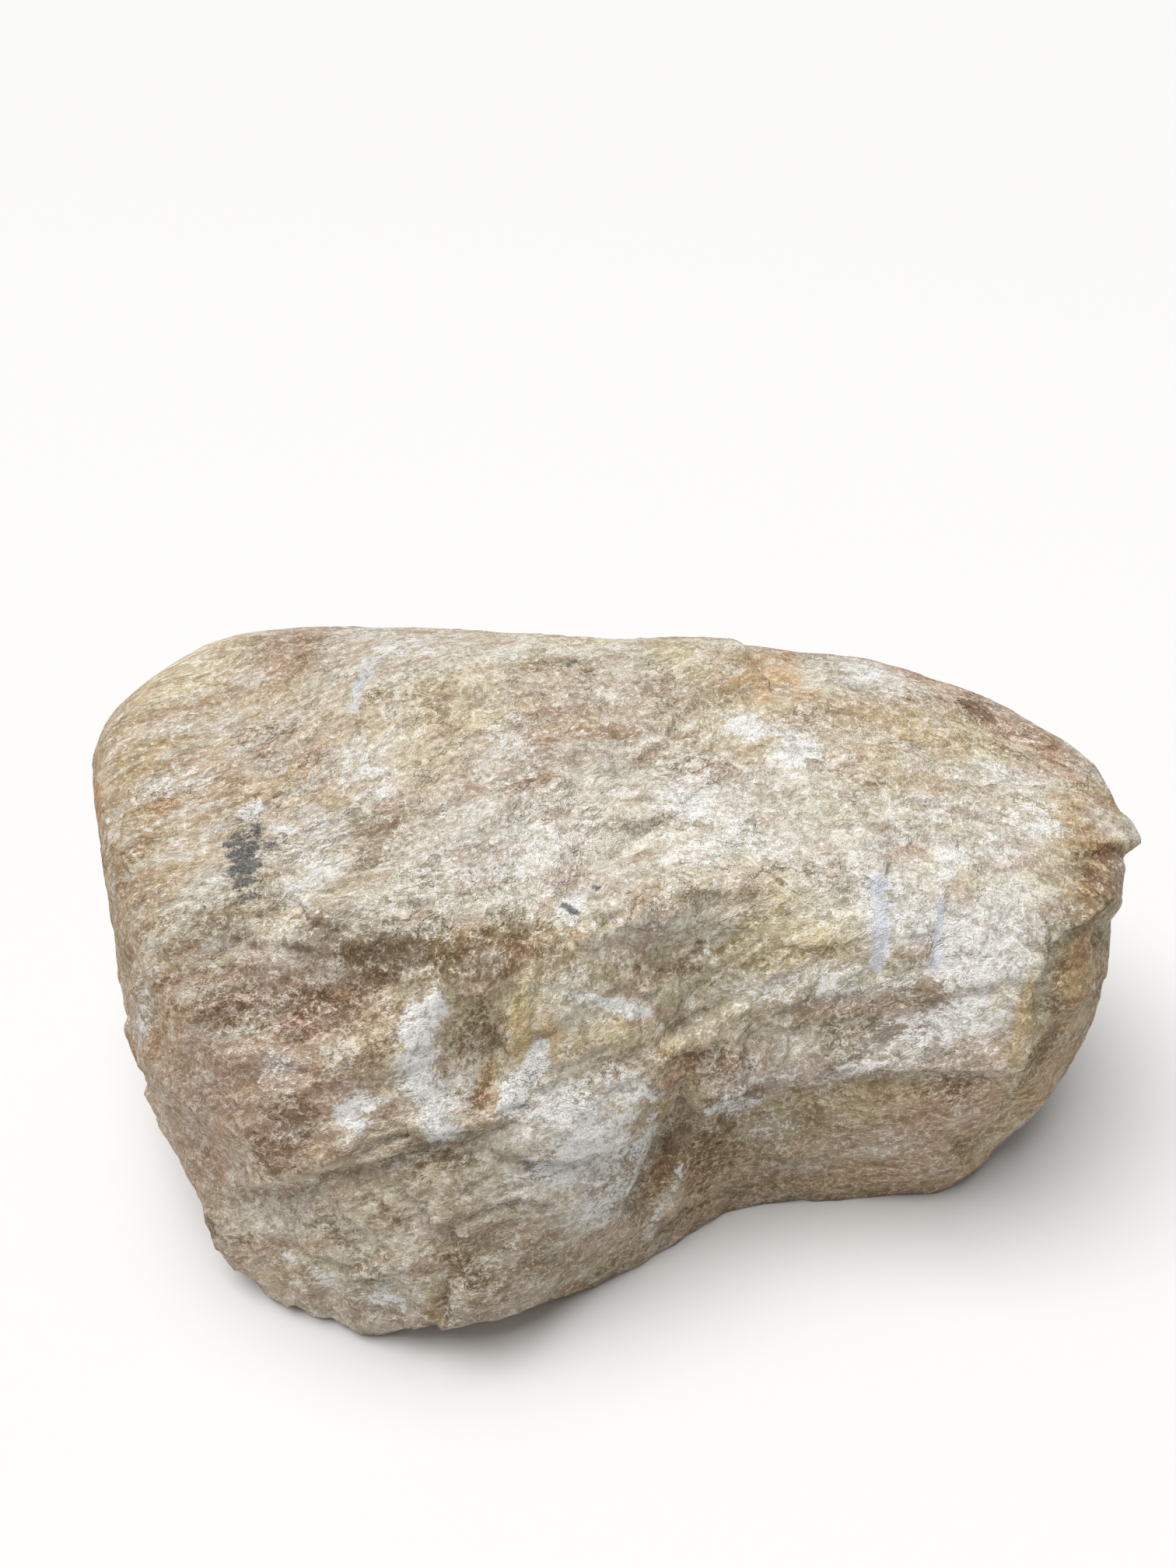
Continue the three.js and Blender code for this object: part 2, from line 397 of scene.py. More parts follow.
@dataclass(frozen=True)
class Mark:
    """A ledge, hollow, crease or lump at one place on the skin.

    Attributes:
        cut: The shape of it.
        azimuth: Degrees, of its place as seen from the core.
        elevation: Degrees, of its place as seen from the core.
        length: Along it, in millimetres.
        width: Across it, in millimetres.
        turn: Degrees, of its length from level.
        height: How far a mound or ledge stands out, or a groove cuts in, in millimetres. A negative
            one does the opposite.
        LEAST_THICKNESS: The least depth of skin that a mark reaches through, in millimetres.
    """

    cut: Cut
    azimuth: float
    elevation: float
    length: float
    width: float
    turn: float
    height: float
    LEAST_THICKNESS: ClassVar[float] = 25.0

    def lift(self, points: Array) -> Array:
        """The mark's height: its profile over places along, across and out of it.

        Args:
            points: n by 3 on the facets, in millimetres.

        Returns:
            n heights in millimetres.
        """
        out = direction(self.azimuth, self.elevation)
        centre = np.array(FORM.core) + out * FORM.reach(out[None])[0]
        level = direction(self.azimuth + 90.0, 0.0)
        turn = math.radians(self.turn)
        along = math.cos(turn) * level + math.sin(turn) * np.cross(out, level)
        offset = points - centre
        thickness = max(self.width / 2.0, self.LEAST_THICKNESS)
        return self.height * self.cut.profile(
            offset @ along / (self.length / 2.0),
            offset @ np.cross(out, along) / (self.width / 2.0),
            offset @ out / thickness,
        )


# every mark, by the feature that it makes
MARKS = {
    "front_hollow": Mark(Cut.MOUND, -138, 22, 80, 30, 27, -6),
    "hollow_brow": Mark(Cut.LEDGE, -141, 30, 70, 26, 35, 2),
    "v_recess": Mark(Cut.MOUND, -114, 19, 46, 22, -80, -11),
    "v_lip": Mark(Cut.LEDGE, -111, 21, 44, 20, 86, -4),
    "pale_bulge": Mark(Cut.MOUND, -97, 1, 62, 44, -88, 6),
    "lobe_crease": Mark(Cut.GROOVE, -79, -16, 60, 14, 62, 7),
    "pale_ridge": Mark(Cut.MOUND, -71, -31, 36, 12, 55, 4),
    "upper_ledge": Mark(Cut.LEDGE, -75, 42, 60, 24, 4, 3),
    "upper_ledge_back": Mark(Cut.LEDGE, -66, 47, 54, 22, 8, 2.5),
    "front_step": Mark(Cut.LEDGE, -131, -1, 72, 20, 35, 4),
    "front_step_right": Mark(Cut.LEDGE, -120, 4, 60, 16, 18, 3),
    "foot_nick": Mark(Cut.GROOVE, -114, -20, 34, 10, -86, 6),
    "top_recess": Mark(Cut.MOUND, 48, 38, 50, 30, 30, -5),
    "top_edge": Mark(Cut.LEDGE, 58, 39, 44, 18, -35, 1.5),
    "top_crease": Mark(Cut.GROOVE, 30, 22, 70, 12, 7, 3),
    "top_crease_right": Mark(Cut.GROOVE, 14, 18, 60, 12, 24, 4),
    "beak_recess": Mark(Cut.MOUND, -7, 8, 34, 26, -10, -9),
    "beak": Mark(Cut.MOUND, 2, 14, 34, 18, 10, 3),
    "end_groove": Mark(Cut.GROOVE, -20, 6, 75, 18, 58, 6),
    "end_ridge": Mark(Cut.MOUND, -16, 14, 60, 14, 20, 3),
    "end_ridge_lower": Mark(Cut.MOUND, -26, 0, 80, 16, 82, 4),
    "end_bulge": Mark(Cut.MOUND, -24, -2, 70, 46, 75, 5),
    "end_step": Mark(Cut.MOUND, -20, -20, 34, 26, -40, -7),
    "left_crease": Mark(Cut.GROOVE, -157, 20, 66, 12, -65, 4),
    "left_ledge": Mark(Cut.LEDGE, -173, 25, 60, 14, 0, 2.5),
    "toe_lump": Mark(Cut.MOUND, -146, -24, 70, 46, -40, 10),
    "back_hollow": Mark(Cut.MOUND, 108, 4, 90, 60, 20, -9),
    "back_shelf": Mark(Cut.LEDGE, 72, -4, 130, 60, -12, 4),
    "back_scar": Mark(Cut.GROOVE, 60, 14, 90, 26, 38, 3),
    "back_boss": Mark(Cut.MOUND, 142, -8, 70, 54, 30, 8),
    "crown_saddle": Mark(Cut.MOUND, -75, 74, 150, 80, 60, -5),
    "crown_swell": Mark(Cut.MOUND, 25, 36, 120, 90, 20, 5),
}


class Break(Enum):
    """What a broken edge does to the skin along its line."""

    STEP = "step"
    CRACK = "crack"


@dataclass(frozen=True)
class Edge:
    """A broken edge that follows a line: a step down on the line's right hand, or a crack.

    Attributes:
        kind: Step or crack.
        trace: The line.
        drop: How far it cuts in, in millimetres. A step or crack with a negative drop stands out.
        reach: How far the low side of a step takes to level out, or half a crack's width, in pixels.
        riser: Half the width of a step's riser, in pixels.
        FADE: The share of the line's length over which each of its ends fades.
        LIP: The share of the drop by which a step's high side stands up.
    """

    kind: Break
    trace: Trace
    drop: float
    reach: float
    riser: float = 3.0
    FADE: ClassVar[float] = 0.14
    LIP: ClassVar[float] = 0.16

    def lift(self, pixels: Array, fray: Array) -> Array:
        """The edge's height.

        A step falls by its riser's S-shaped ramp and comes back by exp(-(distance / reach)^2), and its
        high side stands up a little. A crack is -exp(-(distance / reach)^2). Both fade at their ends.

        Args:
            pixels: n by 2, where the points show.
            fray: n shifts of the distance from the line, in pixels.

        Returns:
            n heights in millimetres.
        """
        distance, along = self.trace.measure(pixels)
        distance = distance + fray
        ends = smooth(along, 0.0, self.FADE) * (1.0 - smooth(along, 1.0 - self.FADE, 1.0))
        bell = np.exp(-((distance / self.reach) ** 2))
        if self.kind is Break.CRACK:
            return -self.drop * ends * bell
        low = smooth(distance, -self.riser, self.riser)
        return self.drop * ends * bell * (self.LIP * (1.0 - low) - low)


# every broken edge on the side that the view shows
EDGES = {
    "recess_lip": Edge(
        Break.STEP,
        Trace(((663, 1270), (657, 1292), (655, 1319), (651, 1341), (641, 1367), (634, 1408), (612, 1444))),
        3.4, 50,
    ),
    "recess_lobe": Edge(Break.CRACK, Trace(((606, 1272), (612, 1310), (616, 1350), (622, 1390))), -2.6, 20),
    "recess_rim": Edge(Break.STEP, Trace(((616, 1446), (596, 1410), (576, 1350), (572, 1300))), 2, 34, 6),
    "block_crack": Edge(Break.CRACK, Trace(((688, 1222), (687, 1290), (688, 1360))), 2, 6),
    "undercut": Edge(
        Break.STEP,
        Trace((
            (895, 1434), (960, 1415), (1006, 1406), (1056, 1409), (1117, 1396), (1181, 1390), (1300, 1374),
        )),
        8, 74,
    ),
    "crease_wall": Edge(
        Break.STEP,
        Trace(((796, 1580), (806, 1551), (821, 1526), (835, 1504), (853, 1476), (892, 1430))),
        10, 44,
    ),
    "pale_rib": Edge(Break.CRACK, Trace(((882, 1490), (849, 1558), (824, 1594))), -3, 10),
    "ledge_diagonal": Edge(
        Break.STEP, Trace(((744, 1236), (796, 1204), (831, 1183), (878, 1161), (930, 1144))), 0.8, 24, 6
    ),
    "ledge_brown": Edge(Break.STEP, Trace(((884, 1216), (946, 1202), (995, 1208), (1046, 1232))), 1.4, 24),
    "ledge_dark": Edge(Break.STEP, Trace(((776, 1238), (849, 1246), (906, 1232))), 0.9, 18),
    "brow_right": Edge(Break.STEP, Trace(((600, 1206), (700, 1190), (775, 1179), (830, 1162))), 1.2, 34, 5),
    "brow_left": Edge(Break.STEP, Trace(((310, 1150), (385, 1174), (439, 1198), (520, 1208))), 2.2, 40, 5),
    "hollow_top": Edge(
        Break.STEP, Trace(((230, 1266), (300, 1250), (360, 1252), (440, 1262), (530, 1282))), 1.6, 60, 5
    ),
    "front_shelf": Edge(
        Break.STEP,
        Trace(((400, 1524), (472, 1485), (492, 1472), (515, 1469), (604, 1469), (680, 1446))),
        2.8, 40,
    ),
    "front_shelf_low": Edge(Break.STEP, Trace(((520, 1600), (581, 1592), (660, 1562), (720, 1548))), 3, 40),
    "lobe_ledge": Edge(Break.STEP, Trace(((392, 1548), (440, 1580), (490, 1622), (530, 1660))), 1.8, 26),
    "lobe_ledge_high": Edge(Break.STEP, Trace(((452, 1518), (510, 1548), (548, 1590), (560, 1630))), 1.6, 22),
    "toe_shelf": Edge(Break.STEP, Trace(((350, 1600), (400, 1630), (450, 1660))), 2, 24),
    "foot_chip": Edge(Break.STEP, Trace(((436, 1664), (480, 1668), (500, 1662), (540, 1688))), 2.5, 20),
    "foot_crack": Edge(Break.STEP, Trace(((566, 1730), (574, 1675), (582, 1590))), -3, 34, 8),
    "foot_nick": Edge(Break.CRACK, Trace(((424, 1650), (434, 1726))), 2, 12),
    "end_corner": Edge(
        Break.STEP,
        Trace((
            (1284, 1466), (1299, 1405), (1303, 1372), (1321, 1322), (1329, 1272), (1349, 1212), (1347, 1160),
        )),
        5, 36,
    ),
    "end_groove": Edge(
        Break.CRACK,
        Trace(((1300, 1424), (1319, 1385), (1339, 1348), (1357, 1322), (1359, 1252), (1378, 1218))),
        4, 10,
    ),
    "end_ridge": Edge(Break.STEP, Trace(((1352, 1262), (1380, 1206), (1402, 1180), (1446, 1150))), 6, 60),
    "end_facet": Edge(Break.STEP, Trace(((1326, 1392), (1362, 1336), (1400, 1290), (1450, 1256))), 4, 60),
    "end_furrow": Edge(Break.CRACK, Trace(((1378, 1200), (1374, 1260), (1362, 1320), (1350, 1370))), 2.5, 8),
    "end_rib": Edge(Break.CRACK, Trace(((1412, 1200), (1404, 1270), (1384, 1330), (1360, 1390))), -2.5, 10),
    "end_notch": Edge(Break.CRACK, Trace(((1350, 1430), (1298, 1466), (1240, 1500))), 6, 24),
    "beak_brow": Edge(Break.STEP, Trace(((1380, 1104), (1406, 1098), (1432, 1092), (1480, 1088))), 6, 52, 7),
    "back_rim": Edge(
        Break.STEP, Trace(((1446, 1062), (1383, 1011), (1287, 954), (1230, 900), (1140, 856))), 3, 34
    ),
    "saddle": Edge(Break.STEP, Trace(((1060, 890), (1010, 903), (986, 901), (976, 880), (946, 830))), 5, 44),
    "left_plane": Edge(Break.STEP, Trace(((172, 990), (154, 1090), (154, 1180), (176, 1300))), 3, 34),
    "left_flank": Edge(Break.STEP, Trace(((160, 1220), (176, 1330), (206, 1430), (240, 1500))), 2.5, 26),
    "amber_pit": Edge(Break.STEP, Trace(((184, 1044), (207, 1028), (236, 1032))), 3, 15),
    "star_foot": Edge(Break.STEP, Trace(((350, 1150), (400, 1172), (440, 1150))), 2, 24),
    "tool_scar": Edge(Break.CRACK, Trace(((1130, 1136), (1134, 1186), (1132, 1222), (1126, 1260))), 1.6, 11),
    "thin_scar": Edge(Break.CRACK, Trace(((1211, 1100), (1207, 1190), (1198, 1260))), 1, 7),
    "scratch": Edge(Break.CRACK, Trace(((474, 838), (462, 880), (452, 920))), 1, 7),
}


@dataclass(frozen=True)
class Grain:
    """The crystal fibres: they climb to the right over the top and run nearly level on the front.

    Attributes:
        rise: How steeply the fibres climb at the middle of the stone.
        bend: How fast that climb eases towards the right, per millimetre.
        front_rise: The share of the climb that is left on the front.
        front_edge: Where the front begins, along Y.
        front_fade: The distance over which the climb changes there.
        wander: Millimetres that the fibres stray along and across their run.
        strays: The noises that they stray by, along and across.
        back_share: How much of the height across the fibres comes from the distance to the back.
        up_share: How much of it comes from the height above the floor.
    """

    rise: float = 0.42
    bend: float = 0.0014
    front_rise: float = 0.35
    front_edge: float = -45.0
    front_fade: float = 16.0
    wander: tuple[float, float] = (14.0, 9.0)
    strays: tuple[LatticeNoise, LatticeNoise] = (
        LatticeNoise((70, 60, 60), 71),
        LatticeNoise((70, 60, 60), 73),
    )
    back_share: float = 0.62
    up_share: float = 0.78

    def place(self, points: Array) -> Array:
        """Where each point lies along, across and through the fibres.

        Across is a level line's height (0.62 y + 0.78 z) less the climb (rise x - bend x^2), so that
        equal values of it trace the fibres.

        Args:
            points: n by 3, in millimetres.

        Returns:
            n by 3, in millimetres.
        """
        x, y, z = points.T
        stray = [noise.at(points) for noise in self.strays]
        along = x + self.wander[0] * stray[0]
        top = 1.0 / (1.0 + np.exp(-(y - self.front_edge) / self.front_fade))
        climb = (self.rise * along - self.bend * along**2) * (self.front_rise + (1 - self.front_rise) * top)
        across = y * self.back_share + z * self.up_share - climb + self.wander[1] * stray[1]
        return np.stack([along, across, z * self.back_share - y * self.up_share], axis=1)


GRAIN = Grain()


@dataclass(frozen=True)
class Chips:
    """Small tilted planes round seeded points, as if flakes had broken off along the grain.

    Attributes:
        size: How far apart the points are along the three coordinates, in millimetres.
        seed: Picks the pattern.
        drop: How far one plane may lie below another, in millimetres.
        tilt: How far a plane may rise over one size, in millimetres.
        sharpness: How suddenly one plane gives way to the next.
        LEAST_WEIGHT: Keeps the mean defined far from every point.
    """

    size: tuple[float, float, float]
    seed: int
    drop: float
    tilt: float
    sharpness: float = 22.0
    LEAST_WEIGHT: ClassVar[float] = 1e-12

    def at(self, points: Array) -> Array:
        """The chips' height: each nearby plane weighted by exp(-sharpness x distance squared).

        Args:
            points: n by 3, in millimetres.

        Returns:
            n heights in millimetres.
        """
        place = points / np.array(self.size)
        cell = np.floor(place)
        total, weights = np.zeros(len(points)), np.full(len(points), self.LEAST_WEIGHT)
        for step in np.ndindex(3, 3, 3):
            corner = cell + np.array(step) - 1.0
            chance = [LatticeNoise.corner_value(corner, self.seed + turn) for turn in range(7)]
            offset = place - corner - np.stack(chance[:3], axis=1)
            slope = 2.0 * np.stack(chance[3:6], axis=1) - 1.0
            plane = self.drop * (chance[6] - 0.5) + self.tilt * np.sum(offset * slope, axis=1)
            weight = np.exp(-self.sharpness * np.sum(offset**2, axis=1))
            total += weight * plane
            weights += weight
        return total / weights


@dataclass(frozen=True)
class Swing:
    """A noise that swings either way.

    Attributes:
        reach: How far it swings either way.
        noise: The noise, from -1 to 1.
    """

    reach: float
    noise: LatticeNoise

    def at(self, points: Array) -> Array:
        """The noise times its reach at each point."""
        return self.reach * self.noise.at(points)


@dataclass(frozen=True)
class Relief:
    """What roughens the facets: the marks, swells, lumps, terraces, edges, chips and fibres.

    Attributes:
        swell: The broad swells, in millimetres.
        lumps: The lumps, in millimetres.
        levels: What makes the terraces, as a number of them: each is one whole number of it.
        terrace: Height of each small terrace, in millimetres.
        riser: How steep a terrace's riser is.
        ragged: How far the marks' edges stray, in millimetres.
        strays: The noises that they stray by along X, Y and Z.
        frays: How far the broken edges stray from their lines, in pixels.
        seen_side: Where the broken edges begin and are whole, ahead of the core towards the view.
        calm: The share of the small relief that is missing from the worn ends and back.
        calm_left: Where the left end begins to be worn and is wholly so, left of the middle.
        calm_right: The same on the right.
        calm_back: The same towards the back.
        coarse: The coarse fibres, in millimetres, whose middles fold up into ridges.
        fine: The fine fibres, in millimetres.
        granular: The roughness with no direction, in millimetres.
        chips: The chips, in two sizes.
    """

    swell: Swing = Swing(4.0, LatticeNoise((95, 80, 70), 3))
    lumps: Swing = Swing(2.0, LatticeNoise((42, 34, 34), 11))
    levels: Swing = Swing(2.4, LatticeNoise((40, 17, 24), 23))
    terrace: float = 0.9
    riser: float = 1.8
    ragged: float = 5.0
    strays: tuple[LatticeNoise, ...] = tuple(LatticeNoise((26, 26, 26), seed) for seed in (81, 82, 83))
    frays: tuple[Swing, Swing] = (
        Swing(5.0, LatticeNoise((11, 11, 11), 91)),
        Swing(2.5, LatticeNoise((4.5, 4.5, 4.5), 93)),
    )
    seen_side: tuple[float, float] = (-12.0, 8.0)
    calm: float = 0.75
    calm_left: tuple[float, float] = (90.0, 160.0)
    calm_right: tuple[float, float] = (140.0, 190.0)
    calm_back: tuple[float, float] = (30.0, 110.0)
    coarse: Swing = Swing(0.9, LatticeNoise((24, 7, 9), 31))
    fine: Swing = Swing(0.6, LatticeNoise((11, 3.6, 4.8), 37))
    granular: Swing = Swing(0.5, LatticeNoise((6, 6, 6), 41))
    chips: tuple[Chips, Chips] = (
        Chips((46, 21, 30), 211, 2.4, 2.8),
        Chips((18, 10, 11), 231, 1.2, 1.8, 34.0),
    )

    def roughness(self, points: Array) -> Array:
        """The share of the small relief that each point keeps."""
        ends = smooth(-points[:, 0], *self.calm_left) + smooth(points[:, 0], *self.calm_right)
        return 1.0 - self.calm * np.maximum(ends, smooth(points[:, 1], *self.calm_back))

    def unevenness(self, points: Array) -> Array:
        """Swells, lumps and terraces. A terrace is the whole part of a noise plus a steep ramp.

        Args:
            points: n by 3, in millimetres.

        Returns:
            n heights in millimetres.
        """
        level = self.levels.at(GRAIN.place(points))
        tread = np.floor(level)
        riser = np.clip((level - tread - 0.5) * self.riser + 0.5, 0.0, 1.0)
        terraces = self.terrace * self.roughness(points) * (tread + riser)
        return self.swell.at(points) + self.lumps.at(points) + terraces

    def marks(self, points: Array) -> Array:
        """All the marks, read at points pushed a little to one side so that edges wander.

        Args:
            points: n by 3, in millimetres.

        Returns:
            n heights in millimetres.
        """
        shifts = [noise.at(points) for noise in self.strays]
        strayed = points + self.ragged * np.stack(shifts, axis=1)
        return sum(mark.lift(strayed) for mark in MARKS.values())

    def edges(self, points: Array) -> Array:
        """All the broken edges, on the half of the stone that they are placed on.

        Args:
            points: n by 3, in millimetres.

        Returns:
            n heights in millimetres.
        """
        to_view = np.array(VIEW.place) - np.array(FORM.core)
        ahead = (points - np.array(FORM.core)) @ to_view / np.linalg.norm(to_view)
        pixels = VIEW.pixels(points)
        fray = sum(swing.at(points) for swing in self.frays)
        return smooth(ahead, *self.seen_side) * sum(edge.lift(pixels, fray) for edge in EDGES.values())

    def fibre_height(self, points: Array) -> Array:
        """Fibre ridges in two sizes along the grain, a granular roughness and the chips.

        A coarse ridge is its reach x (0.5 - |noise|), and the others are plain noises.

        Args:
            points: n by 3, in millimetres.

        Returns:
            n heights in millimetres.
        """
        grain = GRAIN.place(points)
        ridges = self.coarse.reach * (0.5 - np.abs(self.coarse.noise.at(grain)))
        fibres = ridges + self.fine.at(grain) + self.granular.at(points)
        return self.roughness(points) * (fibres + sum(chips.at(grain) for chips in self.chips))


RELIEF = Relief()


# ------------------------------------------------------------------------------ pigments
class Pigment(Enum):
    """The stone's colours, as screen colours."""

    CREAM = (0.92, 0.88, 0.79)
    # the darker tint of the sides and underside: a painted shade
    SAND_SIDE_SHADE = (0.70, 0.615, 0.52)
    IVORY = (0.92, 0.90, 0.85)
    TAN = (0.82, 0.71, 0.54)
    ROSE = (0.76, 0.63, 0.54)
    HONEY = (0.89, 0.84, 0.68)
    CELADON = (0.80, 0.77, 0.67)
    UMBER = (0.60, 0.51, 0.38)
    CHALK = (0.97, 0.97, 0.97)
    SLATE = (0.36, 0.36, 0.35)
    SCRAPE = (0.91, 0.92, 0.95)

    def linear(self) -> Array:
        """The pigment in linear light."""
        return linear(self.value)

    def node_colour(self) -> tuple[float, float, float, float]:
        """The pigment as a shader's colour."""
        return (*self.linear(), 1.0)


class Layer(Enum):
    """What lies over the ground tint. Each layer is a mask on the mesh, which the finish reads."""

    CRUST = "crust"
    # dirt, together with painted shade in the hollows, creases and under the ledges
    DIRT_AND_SHADE = "dirt"
    RUST = "rust"
    SLATE = "slate"
    HONEY = "honey"
    DUST = "dust"
    SCRAPE = "scrape"


@dataclass(frozen=True)
class Streak:
    """A band of one layer that follows a line in the view's frame.

    Attributes:
        trace: The line.
        half: Half its width in pixels.
        strength: How much of what is below it hides.
        FADE: The share of the line's length over which each of its ends fades.
        EDGE: The distances, in half widths, between which its sides fade.
    """

    trace: Trace
    half: float
    strength: float = 0.9
    FADE: ClassVar[float] = 0.1
    EDGE: ClassVar[tuple[float, float]] = (0.3, 1.5)

    def cover(self, pixels: Array, fray: Array) -> Array:
        """How much of the streak lies on each point, falling off from its line to its frayed edge.

        Args:
            pixels: n by 2, where the points show.
            fray: n shifts of its edge, in half widths.

        Returns:
            n shares from 0 to 1.
        """
        distance, along = self.trace.measure(pixels)
        ends = smooth(along, 0.0, self.FADE) * (1.0 - smooth(along, 1.0 - self.FADE, 1.0))
        return self.strength * ends * (1.0 - smooth(np.abs(distance) / self.half + fray, *self.EDGE))


@dataclass(frozen=True)
class Patch:
    """An oval patch, placed in the view's frame.

    Attributes:
        centre: Pixel coordinates of its middle.
        half: Half its length and width, in pixels.
        turn: Degrees that its length rises to the right.
        strength: How much of what is below it hides.
        softness: The share of its size over which its edge fades.
    """

    centre: tuple[float, float]
    half: tuple[float, float]
    turn: float = 0.0
    strength: float = 0.8
    softness: float = 0.9

    def cover(self, pixels: Array, fray: Array) -> Array:
        """How much of the patch lies on each point: an oval whose edge a noise frays.

        Args:
            pixels: n by 2, where the points show.
            fray: n shifts of its edge, as shares of its size.

        Returns:
            n shares from 0 to 1.
        """
        turn = math.radians(self.turn)
        right, down = (pixels - np.array(self.centre)).T
        along = right * math.cos(turn) - down * math.sin(turn)
        across = right * math.sin(turn) + down * math.cos(turn)
        distance = np.hypot(along / self.half[0], across / self.half[1]) + fray
        return self.strength * (1.0 - smooth(distance, 1.0 - self.softness, 1.0 + self.softness))


@dataclass(frozen=True)
class Scatter:
    """Soft patches drawn out along the grain, at no set place.

    Attributes:
        noise: The noise that places them, on the grain's coordinates.
        low: Its value where they begin.
        high: Its value where they are whole.
        strength: How much of what is below they hide.
        on_top: How much more they hide where the skin faces up.
    """

    noise: LatticeNoise
    low: float
    high: float
    strength: float = 1.0
    on_top: float = 0.0

    def cover(self, grain: Array, upward: Array) -> Array:
        """How much of the patches lies on each point: an S-shaped ramp of the noise."""
        return (self.strength + self.on_top * upward) * smooth(self.noise.at(grain), self.low, self.high)


@dataclass(frozen=True)
class Fray:
    """How the edges of the patches are pushed in and out, by two noises.

    Attributes:
        even: The noise with no direction.
        even_share: How far it pushes, as a share of a patch's size.
        drawn: The noise that is drawn out along the grain.
        drawn_share: How far that one pushes.
    """

    even: LatticeNoise
    even_share: float
    drawn: LatticeNoise
    drawn_share: float

    def at(self, points: Array, grain: Array) -> Array:
        """The push at each point, from its place and its place along the grain."""
        return self.even_share * self.even.at(points) + self.drawn_share * self.drawn.at(grain)


# broad fields of the ground tint, the first lowest
FIELDS = {
    Pigment.TAN: Scatter(LatticeNoise((90, 45, 60), 101), -0.1, 0.5, 0.9),
    Pigment.ROSE: Scatter(LatticeNoise((60, 30, 40), 103), 0.1, 0.5, 0.8),
    Pigment.HONEY: Scatter(LatticeNoise((70, 30, 40), 105), 0.0, 0.5, 0.75),
    Pigment.IVORY: Scatter(LatticeNoise((50, 18, 26), 107), 0.0, 0.5, 0.45, 0.45),
    Pigment.UMBER: Scatter(LatticeNoise((30, 11, 16), 109), 0.3, 0.8, 0.5),
}

# small flecks of the ground tint, which lie over its placed patches
FLECKS = {
    Pigment.ROSE: Scatter(LatticeNoise((15, 7, 9), 113), 0.15, 0.6, 0.5),
    Pigment.IVORY: Scatter(LatticeNoise((13, 6, 8), 115), 0.2, 0.6, 0.3, 0.3),
    Pigment.UMBER: Scatter(LatticeNoise((10, 5, 6), 117), 0.3, 0.7, 0.35),
}

# the scattered patches of each layer
SCATTERED = {
    Layer.CRUST: (
        Scatter(LatticeNoise((34, 16, 20), 131), 0.1, 0.8, 0.5),
        Scatter(LatticeNoise((12, 8, 8), 133), 0.1, 0.8, 0.35),
    ),
    Layer.DIRT_AND_SHADE: (Scatter(LatticeNoise((30, 12, 16), 137), 0.35, 0.9, 0.7),),
    Layer.RUST: (Scatter(LatticeNoise((40, 20, 26), 139), 0.55, 0.95, 0.6),),
    Layer.SLATE: (Scatter(LatticeNoise((26, 14, 18), 149), 0.82, 0.96),),
    Layer.HONEY: (Scatter(LatticeNoise((60, 26, 34), 151), 0.25, 0.8, 0.8),),
    Layer.DUST: (Scatter(LatticeNoise((70, 40, 40), 157), 0.2, 0.6),),
    Layer.SCRAPE: (),
}
